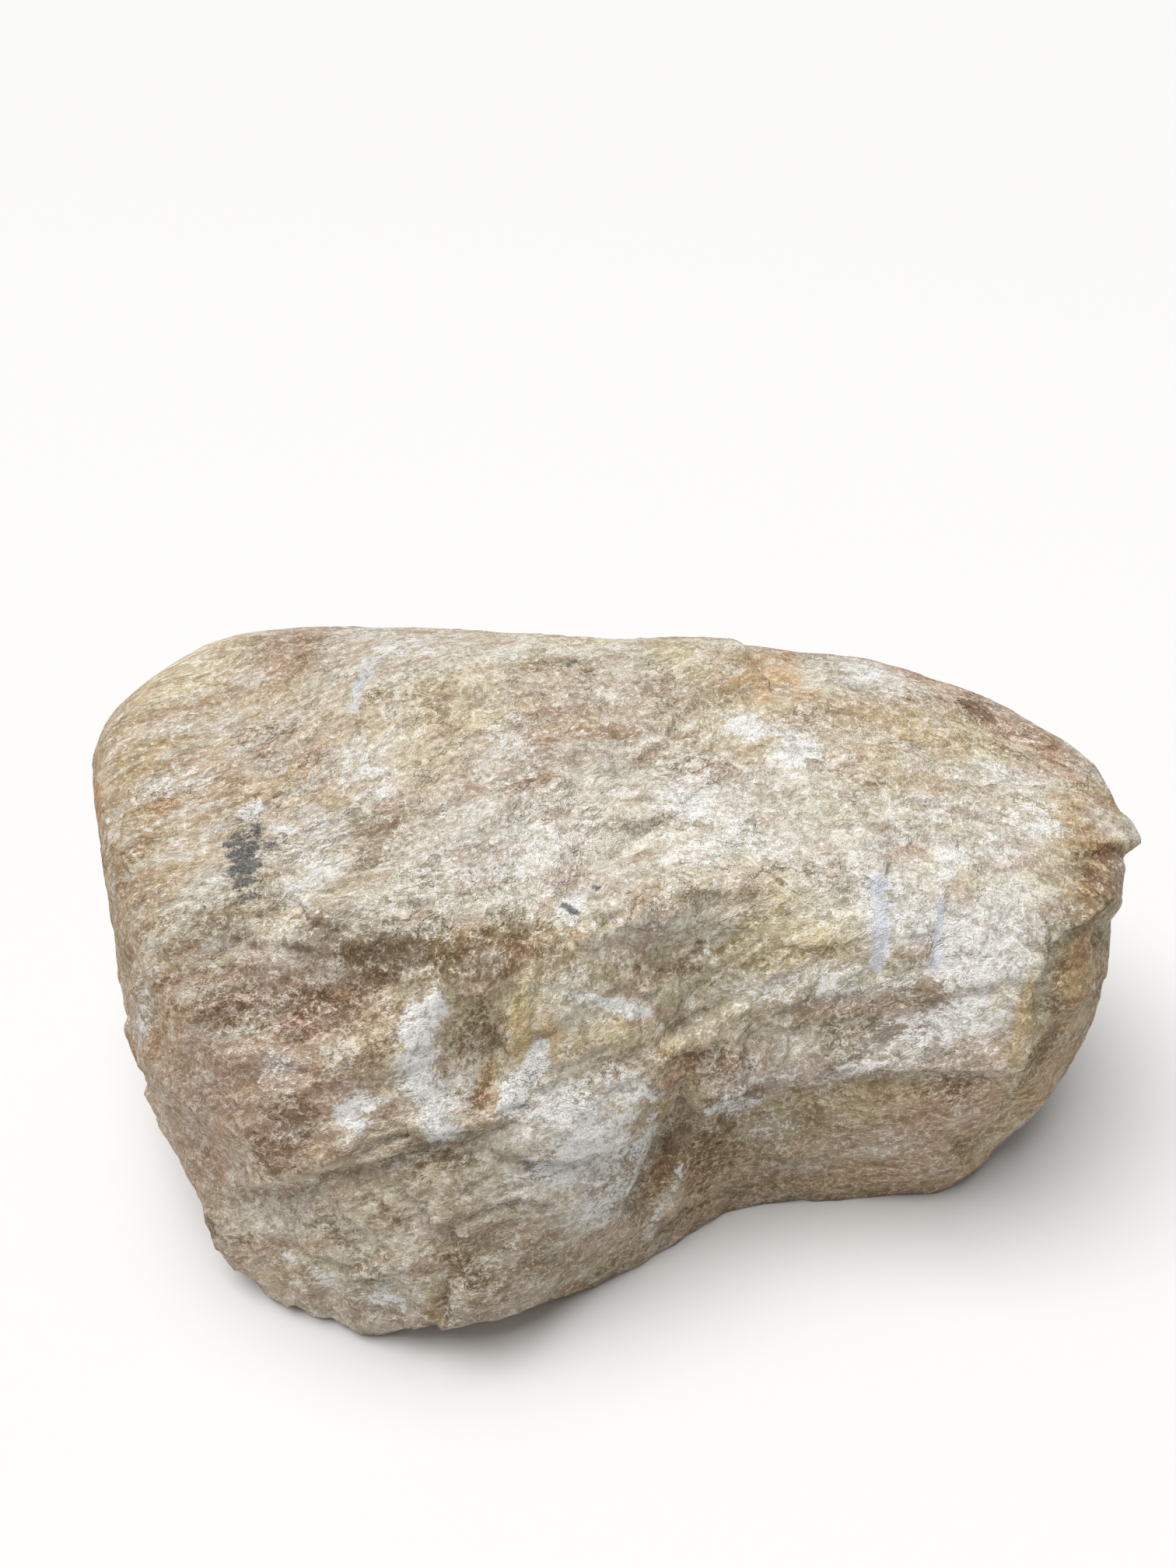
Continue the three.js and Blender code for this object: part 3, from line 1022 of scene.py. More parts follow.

# the placed patches of the ground tint, the first lowest; the umber ones in the undercut, at the lobe's lower
# right and on the end face are painted shade
GROUND = {
    "top_left_rose": (Pigment.ROSE, Patch((300, 960), (150, 120), 30, 0.5)),
    "top_left_edge": (Pigment.TAN, Patch((150, 1030), (60, 120), 70, 0.5)),
    "top_left_corner": (Pigment.HONEY, Patch((215, 890), (90, 50), 40, 0.6)),
    "top_mid_cream": (Pigment.CREAM, Patch((560, 900), (160, 90), 10, 0.6)),
    "top_mid_rose": (Pigment.ROSE, Patch((700, 950), (110, 60), 25, 0.6)),
    "centre_honey": (Pigment.HONEY, Patch((620, 1090), (160, 70), 10, 0.6)),
    "centre_ivory": (Pigment.IVORY, Patch((670, 1070), (210, 84), 14, 1.0)),
    "right_top_ivory": (Pigment.IVORY, Patch((1020, 1030), (220, 100), 0, 0.8)),
    "right_top_tan": (Pigment.TAN, Patch((1180, 960), (120, 70), -20, 0.5)),
    "right_edge_rose": (Pigment.ROSE, Patch((1290, 930), (100, 26), -32, 0.8)),
    "front_rose": (Pigment.ROSE, Patch((310, 1400), (150, 120), 0, 0.8)),
    "hollow": (Pigment.ROSE, Patch((360, 1285), (160, 50), 5, 0.9)),
    "lobe_low": (Pigment.CREAM, Patch((490, 1600), (190, 90), 0, 0.45)),
    # painted shade on the lobe's down-facing lower right
    "lobe_right_low": (Pigment.UMBER, Patch((680, 1620), (130, 60), 15, 0.8)),
    "bulge": (Pigment.IVORY, Patch((735, 1465), (80, 115), 10, 1.0)),
    "brow": (Pigment.UMBER, Patch((530, 1228), (100, 36), 0, 0.7)),
    # partly the ledges' cream, partly painted light on their down-facing side
    "ledges": (Pigment.CREAM, Patch((850, 1190), (110, 34), 16, 1.0)),
    "mid_front": (Pigment.TAN, Patch((720, 1238), (100, 36), 0, 0.7)),
    "wing_mid": (Pigment.UMBER, Patch((1060, 1304), (170, 24), 4, 0.6)),
    "block": (Pigment.HONEY, Patch((672, 1318), (48, 20), 88, 1.0)),
    "wing_band": (Pigment.CELADON, Patch((900, 1290), (220, 50), 0, 0.6)),
    "wing_right": (Pigment.CHALK, Patch((1240, 1210), (110, 130), 0, 0.85)),
    # painted shade in the undercut
    "undercut": (Pigment.UMBER, Patch((980, 1485), (170, 70), 0, 0.75)),
    "panel": (Pigment.TAN, Patch((1180, 1470), (170, 60), 10, 0.5)),
    "panel_right": (Pigment.ROSE, Patch((1200, 1450), (80, 60), 30, 0.5)),
    # painted shade on the end face, which is turned from the light
    "end_face": (Pigment.UMBER, Patch((1388, 1240), (130, 54), 75, 0.6)),
    "beak": (Pigment.UMBER, Patch((1424, 1126), (44, 36), 70, 1.0)),
    "end_corner": (Pigment.HONEY, Patch((1322, 1330), (80, 20), 76, 0.8)),
    "left_flank": (Pigment.TAN, Patch((150, 1150), (70, 230), 0, 0.8)),
    "left_edge": (Pigment.UMBER, Patch((130, 1120), (40, 200), 0, 0.5)),
}

# the placed patches of each layer
PATCHES = {
    Layer.CRUST: {
        "strip": Streak(
            Trace(((566, 1262), (550, 1300), (540, 1345), (546, 1385), (566, 1420), (582, 1478))), 25, 1.0
        ),
        "strip_middle": Patch((534, 1366), (28, 26), 0, 1.0),
        "top_fleck": Patch((368, 1066), (17, 7), -10, 1.0, 0.5),
        "top_fleck_left": Patch((328, 1040), (14, 8), 30, 1.0, 0.5),
        "star": Patch((392, 1108), (56, 46), 20, 0.8),
        "star_foot": Patch((388, 1162), (14, 9), 0, 0.9),
        "front_spot": Patch((458, 1436), (34, 34), 0, 1.0, 0.5),
        "front_fleck": Patch((358, 1374), (24, 20), 0, 0.7),
        "lip": Streak(Trace(((700, 1330), (690, 1372), (668, 1402), (644, 1440))), 15, 1.0),
        "lip_low": Patch((672, 1390), (28, 18), 30, 0.9),
        "bulge_upper": Patch((718, 1430), (60, 30), -10, 0.8),
        "bulge_lower": Patch((752, 1482), (76, 66), -30, 1.0),
        "bulge_foot": Patch((765, 1550), (46, 22), -20, 0.8),
        "bulge_right": Patch((800, 1400), (34, 18), -10, 0.8),
        "saddle": Patch((957, 933), (36, 18), -30, 1.0),
        "saddle_right": Patch((1022, 968), (36, 30), 10, 1.0),
        "middle": Patch((893, 1036), (62, 30), 0, 0.9),
        "middle_low": Patch((880, 1085), (70, 26), -10, 0.6),
        "middle_right": Patch((960, 1080), (90, 34), -20, 0.6),
        "right": Patch((1334, 1052), (38, 22), -35, 0.85),
        "right_mid": Patch((1208, 1046), (34, 14), -20, 0.8),
        "right_low": Patch((1222, 1124), (26, 40), -10, 0.95),
        "back_edge": Patch((1109, 864), (32, 18), -10, 0.8),
        "back_edge_left": Patch((539, 827), (52, 18), 0, 0.8),
        "seam_upper": Patch((660, 920), (14, 26), 20, 0.6),
        "seam": Patch((654, 960), (20, 30), 35, 0.7),
        "seam_lower": Patch((640, 1000), (38, 18), 25, 0.6),
        "centre": Patch((650, 1076), (130, 54), 14, 0.5),
        # partly crust, partly painted light on the ledges' down-facing side
        "ledges": Patch((850, 1190), (90, 22), 16, 0.4),
        "pale_green": Patch((475, 992), (46, 34), -20, 0.7),
        "speck_halo": Patch((742, 1158), (25, 15), 40, 1.0),
        "streak": Streak(Trace(((690, 1272), (760, 1280), (810, 1300), (850, 1304))), 9, 1.0),
        "foot_left": Streak(Trace(((470, 1668), (490, 1672), (504, 1668), (528, 1682))), 8, 0.9),
        "toe": Streak(Trace(((356, 1608), (400, 1628), (440, 1660))), 6, 0.8),
        "wing_streaks": Patch((1060, 1262), (110, 22), 4, 0.7),
        "wing_end": Patch((1200, 1320), (70, 20), 14, 0.7),
        "wing_corner": Patch((1290, 1200), (50, 30), -60, 0.6),
        "wing_low": Patch((1060, 1380), (110, 12), 6, 0.6),
        "undercut_lip": Streak(Trace(((900, 1436), (930, 1422), (990, 1408))), 8, 0.8),
        "panel": Patch((1010, 1450), (60, 22), 0, 0.5),
        "panel_low": Patch((1120, 1470), (70, 20), 0, 0.4),
        "rib": Streak(Trace(((880, 1496), (849, 1558), (826, 1594))), 9, 0.6),
        "left_flank": Patch((186, 1290), (60, 12), 80, 0.7),
        "left_top": Patch((230, 1010), (60, 20), 20, 0.5),
    },
    # dirt, and painted shade in the hollows, creases, recesses, grooves and under the ledges
    Layer.DIRT_AND_SHADE: {
        "hollow_brow": Patch((520, 1226), (96, 38), 0, 1.0),
        "hollow_brow_right": Patch((625, 1212), (80, 20), 5, 0.8),
        "hollow": Patch((390, 1290), (140, 40), 4, 0.6),
        "brow_left": Patch((410, 1190), (70, 20), -14, 0.6),
        "front": Patch((385, 1440), (36, 24), 0, 0.75),
        "front_low": Patch((350, 1484), (26, 20), 60, 0.75),
        "shelf": Patch((560, 1492), (70, 14), 5, 0.6),
        "toe": Patch((467, 1633), (17, 11), 0, 0.9),
        "lobe_ledge": Streak(Trace(((400, 1564), (446, 1596), (500, 1648))), 9, 0.6),
        "lobe_ledge_high": Streak(Trace(((470, 1536), (520, 1570), (546, 1610))), 8, 0.5),
        "lobe_low": Patch((610, 1640), (50, 22), -20, 0.6),
        "granular": Patch((486, 1080), (34, 40), 0, 0.75),
        "wing": Patch((1188, 1268), (26, 26), 0, 0.85),
        "wing_low": Patch((1110, 1320), (70, 18), 0, 0.55),
        "wing_left": Patch((900, 1370), (70, 28), 0, 0.5),
        "recess": Patch((600, 1325), (26, 60), -8, 0.5),
        "window": Patch((622, 1400), (32, 10), 75, 0.9),
        "recess_lip": Streak(Trace(((652, 1300), (645, 1345), (630, 1400))), 8, 0.35),
        "crease": Streak(Trace(((892, 1436), (862, 1480), (836, 1530), (812, 1580))), 18, 0.8),
        "undercut": Patch((905, 1475), (40, 60), -30, 0.6),
        "ledge_brown": Patch((940, 1218), (44, 8), 0, 0.7),
        "ledge_dark": Patch((846, 1246), (50, 6), -4, 0.7),
        "foot_crack": Streak(Trace(((578, 1630), (574, 1675), (571, 1716))), 8, 0.5),
        "edge": Patch((1258, 912), (26, 12), -35, 0.8),
        "corner": Patch((1190, 1402), (90, 14), 8, 0.5),
        "left_notch": Patch((262, 1570), (24, 8), -45, 0.9),
        "end_groove": Streak(
            Trace(((1306, 1420), (1339, 1348), (1357, 1322), (1359, 1252), (1378, 1218))), 12, 0.7
        ),
        "beak": Patch((1418, 1118), (34, 20), 60, 0.8),
    },
    Layer.RUST: {
        "saddle": Patch((1000, 878), (44, 24), -12, 1.0),
        "right": Patch((1165, 1095), (36, 20), -20, 0.7),
        "pit": Patch((207, 1036), (24, 11), 20, 1.0),
        "block": Patch((708, 1330), (20, 36), 0, 0.85),
        "streak": Patch((836, 1306), (44, 10), 14, 0.85),
        "left_plane": Patch((124, 1042), (52, 9), 88, 0.9),
        "window": Patch((622, 1400), (36, 12), 75, 1.0),
        "lip_drop": Patch((665, 1428), (16, 6), 20, 0.7),
        "front_spot": Patch((492, 1432), (16, 10), 0, 0.7),
        "toe": Patch((409, 1600), (24, 12), 0, 0.6),
        "crease": Patch((850, 1492), (50, 14), 60, 0.7),
        "hole": Patch((885, 1436), (9, 7), 0, 1.0),
        "ledge": Patch((812, 1180), (26, 7), 25, 0.7),
        "wing": Patch((1048, 1208), (24, 12), 0, 0.5),
        "end": Patch((1345, 1380), (40, 20), 55, 0.5),
        "end_face": Patch((1385, 1250), (60, 24), 78, 0.6),
        "beak": Patch((1424, 1120), (34, 24), 60, 0.9),
    },
    Layer.SLATE: {
        "spot": Patch((316, 1118), (24, 31), 10, 1.0, 0.8),
        "tail": Patch((330, 1076), (7, 20), -8, 0.6),
        "smear": Patch((350, 1090), (30, 12), 20, 0.5),
        "speck": Patch((732, 1168), (11, 4), -30, 1.0, 0.7),
        "speck_small": Patch((766, 1141), (5, 4), 0, 1.0, 0.5),
        "speck_back": Patch((736, 852), (6, 3), 30, 0.8, 0.7),
        "brow_hair": Patch((660, 1185), (30, 3), -20, 0.5),
    },
    Layer.HONEY: {
        "block": Patch((672, 1318), (44, 17), 88, 1.0, 0.5),
        "lip_low": Patch((648, 1410), (24, 16), 40, 0.8),
        "centre": Patch((600, 1090), (110, 50), 10, 0.15),
        "centre_left": Patch((540, 1010), (60, 50), 40, 0.4),
        "middle_left": Patch((450, 940), (60, 24), 20, 0.4),
        "beak": Patch((1420, 1118), (36, 26), 70, 1.0, 0.6),
        "triangle": Patch((1284, 1286), (16, 7), 70, 1.0, 0.5),
        "corner_strip": Patch((1318, 1300), (60, 9), 76, 0.8),
        "end": Patch((1385, 1270), (120, 40), 75, 0.8),
        "foot": Patch((560, 1680), (11, 28), 0, 0.9, 0.6),
        "crease": Patch((838, 1528), (60, 24), 58, 0.9),
        "undercut": Patch((900, 1520), (60, 40), 20, 0.5),
    },
    Layer.DUST: {
        # partly dust, partly painted light on the ledges' down-facing side
        "ledges": Patch((850, 1192), (120, 40), 16, 1.0),
        "centre": Patch((660, 1075), (150, 60), 14, 1.0),
        "front_right": Patch((1160, 1250), (200, 130), 0, 1.0),
        "bulge": Patch((740, 1450), (90, 120), 0, 1.0),
        "toe": Patch((470, 1650), (110, 40), -10, 1.0),
    },
    Layer.SCRAPE: {
        "tool_scar": Patch((1131, 1214), (66, 15), 86, 1.0, 0.4),
        "tool_scar_tip": Streak(Trace(((1130, 1120), (1130, 1160), (1130, 1210))), 7, 1.0),
        "thin_scar": Streak(Trace(((1214, 1120), (1208, 1190), (1199, 1262))), 7, 1.0),
        "scratch": Streak(Trace(((474, 838), (462, 880), (452, 920))), 7, 0.9),
        "scratch_right": Streak(Trace(((486, 842), (474, 876))), 5, 0.7),
    },
}


@dataclass
class StoneColours:
    """Works out the stone's tint and its masks at each point of the skin.

    Attributes:
        points: n by 3, in millimetres.
        normals: n by 3 unit vectors.
        pixels: n by 2, where the points show in the view.
        seen: 1 where the skin faces the view and 0 where it faces away.
        upward: 1 where the skin faces up and 0 where it faces sideways or down.
        grain: n by 3, where the points lie along, across and through the fibres.
        seen_band: The cosines of the angle to the view between which seen rises.
        upward_band: The normal's heights between which upward rises.
        tint_fray: How the edges of the ground's patches stray.
        mask_fray: How the edges of the layers' patches stray.
        crust_on_sides: The share of the scattered crust that is left on upright faces.
        least_dust: The share of dust that lies everywhere.
        cleaner_front: The share of the scattered layers that is missing from the side that is seen.
    """

    points: Array
    normals: Array
    pixels: Array = field(init=False)
    seen: Array = field(init=False)
    upward: Array = field(init=False)
    grain: Array = field(init=False)
    seen_band: tuple[float, float] = (-0.1, 0.1)
    upward_band: tuple[float, float] = (0.05, 0.75)
    tint_fray: Fray = Fray(LatticeNoise((24, 24, 24), 121), 0.45, LatticeNoise((14, 6, 8), 125), 0.35)
    mask_fray: Fray = Fray(LatticeNoise((15, 13, 13), 123), 0.55, LatticeNoise((9, 4.5, 5.5), 127), 0.55)
    crust_on_sides: float = 0.25
    least_dust: float = 0.35
    cleaner_front: float = 0.4

    def __post_init__(self) -> None:
        """Projects the points to the view and notes which of them face it and which face up."""
        self.pixels = VIEW.pixels(self.points)
        self.grain = GRAIN.place(self.points)
        sight = np.array(VIEW.place) - self.points
        facing = np.sum(sight * self.normals, axis=1) / np.linalg.norm(sight, axis=1)
        self.seen = smooth(facing, *self.seen_band)
        self.upward = smooth(self.normals[:, 2], *self.upward_band)

    def spread(self, scatters: dict[Pigment, Scatter]) -> list[tuple[Pigment, Array]]:
        """Each pigment with how much of its scattered patches lies on each point."""
        return [(pigment, scatter.cover(self.grain, self.upward)) for pigment, scatter in scatters.items()]

    def tint(self) -> Array:
        """The ground tint: sand, a painted shade, to cream by how far the skin faces up, fields, placed
        patches and flecks.

        Returns:
            n by 3, in linear light.
        """
        side_shade, cream = Pigment.SAND_SIDE_SHADE.linear(), Pigment.CREAM.linear()
        # painted shade: faces that turn away from up take the darker sand
        tint = side_shade + self.upward[:, None] * (cream - side_shade)
        fray = self.tint_fray.at(self.points, self.grain)
        placed = [(pigment, patch.cover(self.pixels, fray) * self.seen) for pigment, patch in GROUND.values()]
        for pigment, cover in (*self.spread(FIELDS), *placed, *self.spread(FLECKS)):
            tint += cover[:, None] * (pigment.linear() - tint)
        return tint

    def scattered(self, layer: Layer) -> Array:
        """How much of a layer's scattered patches lies on each point.

        The crust is thinner on upright faces, slate is scattered on the hidden side alone, and dust
        lies everywhere, most on what faces up.

        Args:
            layer: The layer.

        Returns:
            n shares from 0 to 1.
        """
        cover = np.zeros(len(self.points))
        for scatter in SCATTERED[layer]:
            cover += scatter.cover(self.grain, self.upward)
        if layer is Layer.CRUST:
            cover *= self.crust_on_sides + (1.0 - self.crust_on_sides) * self.upward
        if layer is Layer.SLATE:
            cover *= 1.0 - self.seen
        if layer is Layer.DUST:
            cover = self.least_dust + (1.0 - self.least_dust) * np.maximum(self.upward, cover)
        return cover

    def mask(self, layer: Layer) -> Array:
        """How much of a layer lies on each point: its scattered patches, then its placed ones.

        Args:
            layer: The layer.

        Returns:
            n shares from 0 to 1.
        """
        fray = self.mask_fray.at(self.points, self.grain)
        cover = self.scattered(layer) * (1.0 - self.cleaner_front * self.seen)
        for patch in PATCHES[layer].values():
            cover = np.maximum(cover, patch.cover(self.pixels, fray) * self.seen)
        return cover


# ------------------------------------------------------------------------------ the stone
class Stored(Enum):
    """Kinds of mesh attribute, with the name of the property that holds each value."""

    COLOUR = ("FLOAT_COLOR", "color")
    VECTOR = ("FLOAT_VECTOR", "vector")
    NUMBER = ("FLOAT", "value")


def store(mesh: bpy.types.Mesh, name: str, kind: Stored, values: Array) -> None:
    """Stores a value at each point of a mesh.

    Args:
        mesh: The mesh.
        name: The attribute's name.
        kind: What each value is.
        values: One row for each point.
    """
    type_name, property_name = kind.value
    attribute = mesh.attributes.new(name, type_name, "POINT")
    attribute.data.foreach_set(property_name, values.astype(np.float32).ravel())


@dataclass
class CalciteStone:
    """The stone's skin as one closed mesh.

    Attributes:
        name: The piece's name.
        steps: Grid steps along the length, depth and height.
        half: Half sizes of the block that the grid is laid out on, in millimetres.
        rings: Rings of the resting face between its edge and its middle.
        crowding: How far the grid's spacing evens out the rays: 0 for even on the block, 1 for even angles.
        foot_steps: Directions in which the foot line is looked for.
        foot_halvings: How many times the search halves its angle.
        foot_angles: The least and greatest angles below level of the search, in radians.
        MERGE_STEPS: Corners that agree to one part in this many are one corner.
        FOOT_GAP: The share of the block's half height within which a corner is on its bottom edge.
    """

    name: str = "calcite_stone_skin"
    steps: tuple[int, int, int] = (228, 128, 94)
    half: tuple[float, float, float] = (200.0, 118.0, 88.0)
    rings: int = 4
    crowding: float = 0.92
    foot_steps: int = 1440
    foot_halvings: int = 20
    foot_angles: tuple[float, float] = (0.01, 1.55)
    MERGE_STEPS: ClassVar[float] = 1e6
    FOOT_GAP: ClassVar[float] = 1e-9

    def spaced(self, count: int) -> Array:
        """Places from -1 to 1 along a side of the block: the tangents of even angles."""
        angles = np.linspace(-1, 1, count + 1) * math.pi / 4 * self.crowding
        return np.tan(angles) / math.tan(math.pi / 4 * self.crowding)

    def block_rays(self) -> tuple[Array, Array]:
        """Rays to a grid on the block's top and four sides.

        Each face of the block is a plane of two parameters from -1 to 1, whose spacing tan(0.23 pi u)
        evens out the rays. The lowest row of the sides is the edge of the resting face.

        Returns:
            The grid's points in millimetres from the core, and its four-sided faces.
        """
        length, depth, height = (self.spaced(count) for count in self.steps)
        sheets = []
        u, v = np.meshgrid(length, depth, indexing="ij")
        sheets.append((u, v, np.ones(u.shape), False))
        u, v = np.meshgrid(length, height, indexing="ij")
        sheets.append((u, -np.ones(u.shape), v, False))
        sheets.append((u, np.ones(u.shape), v, True))
        u, v = np.meshgrid(depth, height, indexing="ij")
        sheets.append((np.ones(u.shape), u, v, False))
        sheets.append((-np.ones(u.shape), u, v, True))
        corners, faces, start = [], [], 0
        for x, y, z, turned in sheets:
            index = np.arange(x.size).reshape(x.shape) + start
            quad = np.stack([index[:-1, :-1], index[1:, :-1], index[1:, 1:], index[:-1, 1:]], axis=-1)
            quad = quad.reshape(-1, 4)
            faces.append(quad[:, ::-1] if turned else quad)
            corners.append(np.stack([x, y, z], axis=-1).reshape(-1, 3))
            start += x.size
        corners, faces = np.concatenate(corners), np.concatenate(faces)
        places = np.round(corners * self.MERGE_STEPS).astype(np.int64)
        _, first, merged = np.unique(places, axis=0, return_index=True, return_inverse=True)
        return corners[first] * np.array(self.half), merged.reshape(-1)[faces]

    def skin_reach(self, rays: Array) -> Array:
        """Distance from the core to the rough skin along each ray, as if there were no floor.

        Args:
            rays: n by 3 unit vectors.

        Returns:
            n distances in millimetres.
        """
        reach = FORM.reach(rays)
        on_facets = np.array(FORM.core) + rays * reach[:, None]
        form = RELIEF.unevenness(on_facets) + RELIEF.marks(on_facets)
        return reach + form + RELIEF.edges(on_facets) + RELIEF.fibre_height(on_facets)

    def foot_slopes(self) -> tuple[Array, Array]:
        """The rays that meet skin and floor at once, found by halving the angle below level.

        Returns:
            Azimuths round the foot in radians, and the drop over run of the ray at each.
        """
        azimuth = np.linspace(-math.pi, math.pi, self.foot_steps + 1)
        above, below = (np.full_like(azimuth, angle) for angle in self.foot_angles)
        for _ in range(self.foot_halvings):
            middle = (above + below) / 2
            run = np.cos(middle)
            rays = np.stack([np.cos(azimuth) * run, np.sin(azimuth) * run, -np.sin(middle)], axis=1)
            clear = FORM.core[2] + self.skin_reach(rays) * rays[:, 2] > 0
            above, below = np.where(clear, middle, above), np.where(clear, below, middle)
        return azimuth, np.tan((above + below) / 2)

    def seat_on_foot(self, rays: Array) -> Array:
        """Turns the rays below the core so that the block's bottom edge lands on the foot line.

        Args:
            rays: n by 3, from the core to the block.

        Returns:
            n by 3 unit vectors.
        """
        azimuths, slopes = self.foot_slopes()
        azimuth = np.arctan2(rays[:, 1], rays[:, 0])
        per_run = np.maximum(np.abs(np.cos(azimuth)) / self.half[0], np.abs(np.sin(azimuth)) / self.half[1])
        steeper = np.interp(azimuth, azimuths, slopes) / (self.half[2] * per_run)
        turned = rays.copy()
        turned[:, 2] = np.where(rays[:, 2] < 0, rays[:, 2] * steeper, rays[:, 2])
        return turned / np.linalg.norm(turned, axis=1, keepdims=True)

    def skin(self) -> tuple[Array, Array, Array]:
        """The skin down to the floor.

        Returns:
            Its points in millimetres, its faces, and a mask of the points on the foot line.
        """
        corners, faces = self.block_rays()
        at_foot = corners[:, 2] <= -self.half[2] * (1 - self.FOOT_GAP)
        rays = self.seat_on_foot(corners)
        points = np.array(FORM.core) + rays * self.skin_reach(rays)[:, None]
        points[at_foot, 2] = 0.0
        points[:, 2] = np.maximum(points[:, 2], 0.0)
        return points, faces, at_foot

    def resting_face(self, points: Array, at_foot: Array) -> tuple[Array, Array, Array]:
        """Rings that close the skin below: the foot line shrunk towards its middle step by step.

        Args:
            points: The skin's points.
            at_foot: A mask of those on the foot line.

        Returns:
            The new points, the four-sided faces between rings, and the triangles at the middle.
        """
        edge = np.flatnonzero(at_foot)
        middle = points[edge].mean(axis=0) * np.array([1, 1, 0])
        order = np.argsort(np.arctan2(points[edge, 1] - FORM.core[1], points[edge, 0] - FORM.core[0]))
        edge = edge[order]
        shares = 1.0 - np.arange(1, self.rings) / self.rings
        rings = middle + shares[:, None, None] * (points[edge] - middle)
        new = np.concatenate([rings.reshape(-1, 3), middle[None]])
        count, start = len(edge), len(points)
        inner = start + np.arange((self.rings - 1) * count).reshape(self.rings - 1, count)
        index = np.vstack([edge, inner])
        after = np.roll(index, -1, axis=1)
        quads = np.stack([index[:-1], index[1:], after[1:], after[:-1]], axis=-1).reshape(-1, 4)
        hub = np.full(count, start + len(new) - 1)
        fan = np.stack([index[-1], hub, after[-1]], axis=-1)
        return new, quads, fan

    def fit(self, points: Array) -> Array:
        """Stretches the skin a little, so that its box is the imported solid's box.

        Args:
            points: n by 3, in millimetres.

        Returns:
            n by 3, in millimetres.
        """
        low, high = (np.array(corner) / MM for corner in CAD_BOX)
        least, most = points.min(axis=0), points.max(axis=0)
        return low + (points - least) * (high - low) / (most - least)

    def build(self) -> bpy.types.Object:
        """Makes the stone's mesh with its tint, its grain and its masks.

        Returns:
            The stone, not yet dressed.
        """
        points, quads, at_foot = self.skin()
        under, ring_quads, fan = self.resting_face(points, at_foot)
        points = self.fit(np.concatenate([points, under]))
        faces = np.concatenate([quads, ring_quads]).tolist() + fan.tolist()
        mesh = bpy.data.meshes.new(self.name)
        mesh.from_pydata((points * MM).tolist(), [], faces)
        mesh.shade_smooth()
        mesh.update()
        normals = np.empty(len(points) * 3, np.float32)
        mesh.vertex_normals.foreach_get("vector", normals)
        self.colour(mesh, StoneColours(points, normals.reshape(-1, 3).astype(float)))
        stone = bpy.data.objects.new(self.name, mesh)
        bpy.context.scene.collection.objects.link(stone)
        return stone

    @staticmethod
    def colour(mesh: bpy.types.Mesh, colours: StoneColours) -> None:
        """Stores what the finish reads at each point of the mesh.

        Args:
            mesh: The skin's mesh.
            colours: Its tint, grain and masks.
        """
        tint = np.column_stack([colours.tint(), np.ones(len(colours.points))])
        store(mesh, "tint", Stored.COLOUR, tint)
        store(mesh, "grain", Stored.VECTOR, colours.grain * MM)
        for layer in Layer:
            store(mesh, layer.value, Stored.NUMBER, colours.mask(layer))

    @staticmethod
    def dress(stone: bpy.types.Object) -> None:
        """Gives the stone its finish, sets it on the root and hides the imported part that it stands in for.

        Args:
            stone: The built stone.
        """
        stone.data.materials.append(CalciteFinish().build())
        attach(stone, "root")
        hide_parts("calcite_stone")


# ------------------------------------------------------------------------------ finishes
@dataclass(frozen=True)
class Span:
    """A straight ramp, held at its ends.

    Attributes:
        low: Where it starts.
        high: Where it ends.
        to_low: What it gives at its start.
        to_high: What it gives at its end.
    """

    low: float
    high: float
    to_low: float = 0.0
    to_high: float = 1.0


@dataclass(frozen=True)
class Pattern:
    """A noise that lies about 0.5.

    Attributes:
        scale: Per metre, the same all round or one each along, across and through the grain.
        detail: How many finer noises are added to it.
        roughness: How strong each of them is beside the one before.
    """

    scale: float | tuple[float, float, float]
    detail: float = 2.0
    roughness: float = 0.6


@dataclass(frozen=True)
class Rip:
    """How a mask's edge is torn.

    Attributes:
        reach: How far the tear bites into the mask.
        edge: How softly the torn edge fades.
    """

    reach: float
    edge: float


@dataclass(frozen=True)
class Stain:
    """A layer that tints what lies below it.

    Attributes:
        layer: The mask that places it.
        shade: What it multiplies red, green and blue by.
        strength: How much of that tint it gives.
        rip: How its edge is torn.
    """

    layer: Layer
    shade: Shade
    strength: float
    rip: Rip


class Sum(Enum):
    """The sums on numbers and vectors that the finishes use."""

    SUBTRACT = "SUBTRACT"
    MULTIPLY = "MULTIPLY"
    MULTIPLY_ADD = "MULTIPLY_ADD"
    ABSOLUTE = "ABSOLUTE"
    DOT = "DOT_PRODUCT"


class Overlay(Enum):
    """How one colour goes over another."""

    COVER = "MIX"
    TINT = "MULTIPLY"


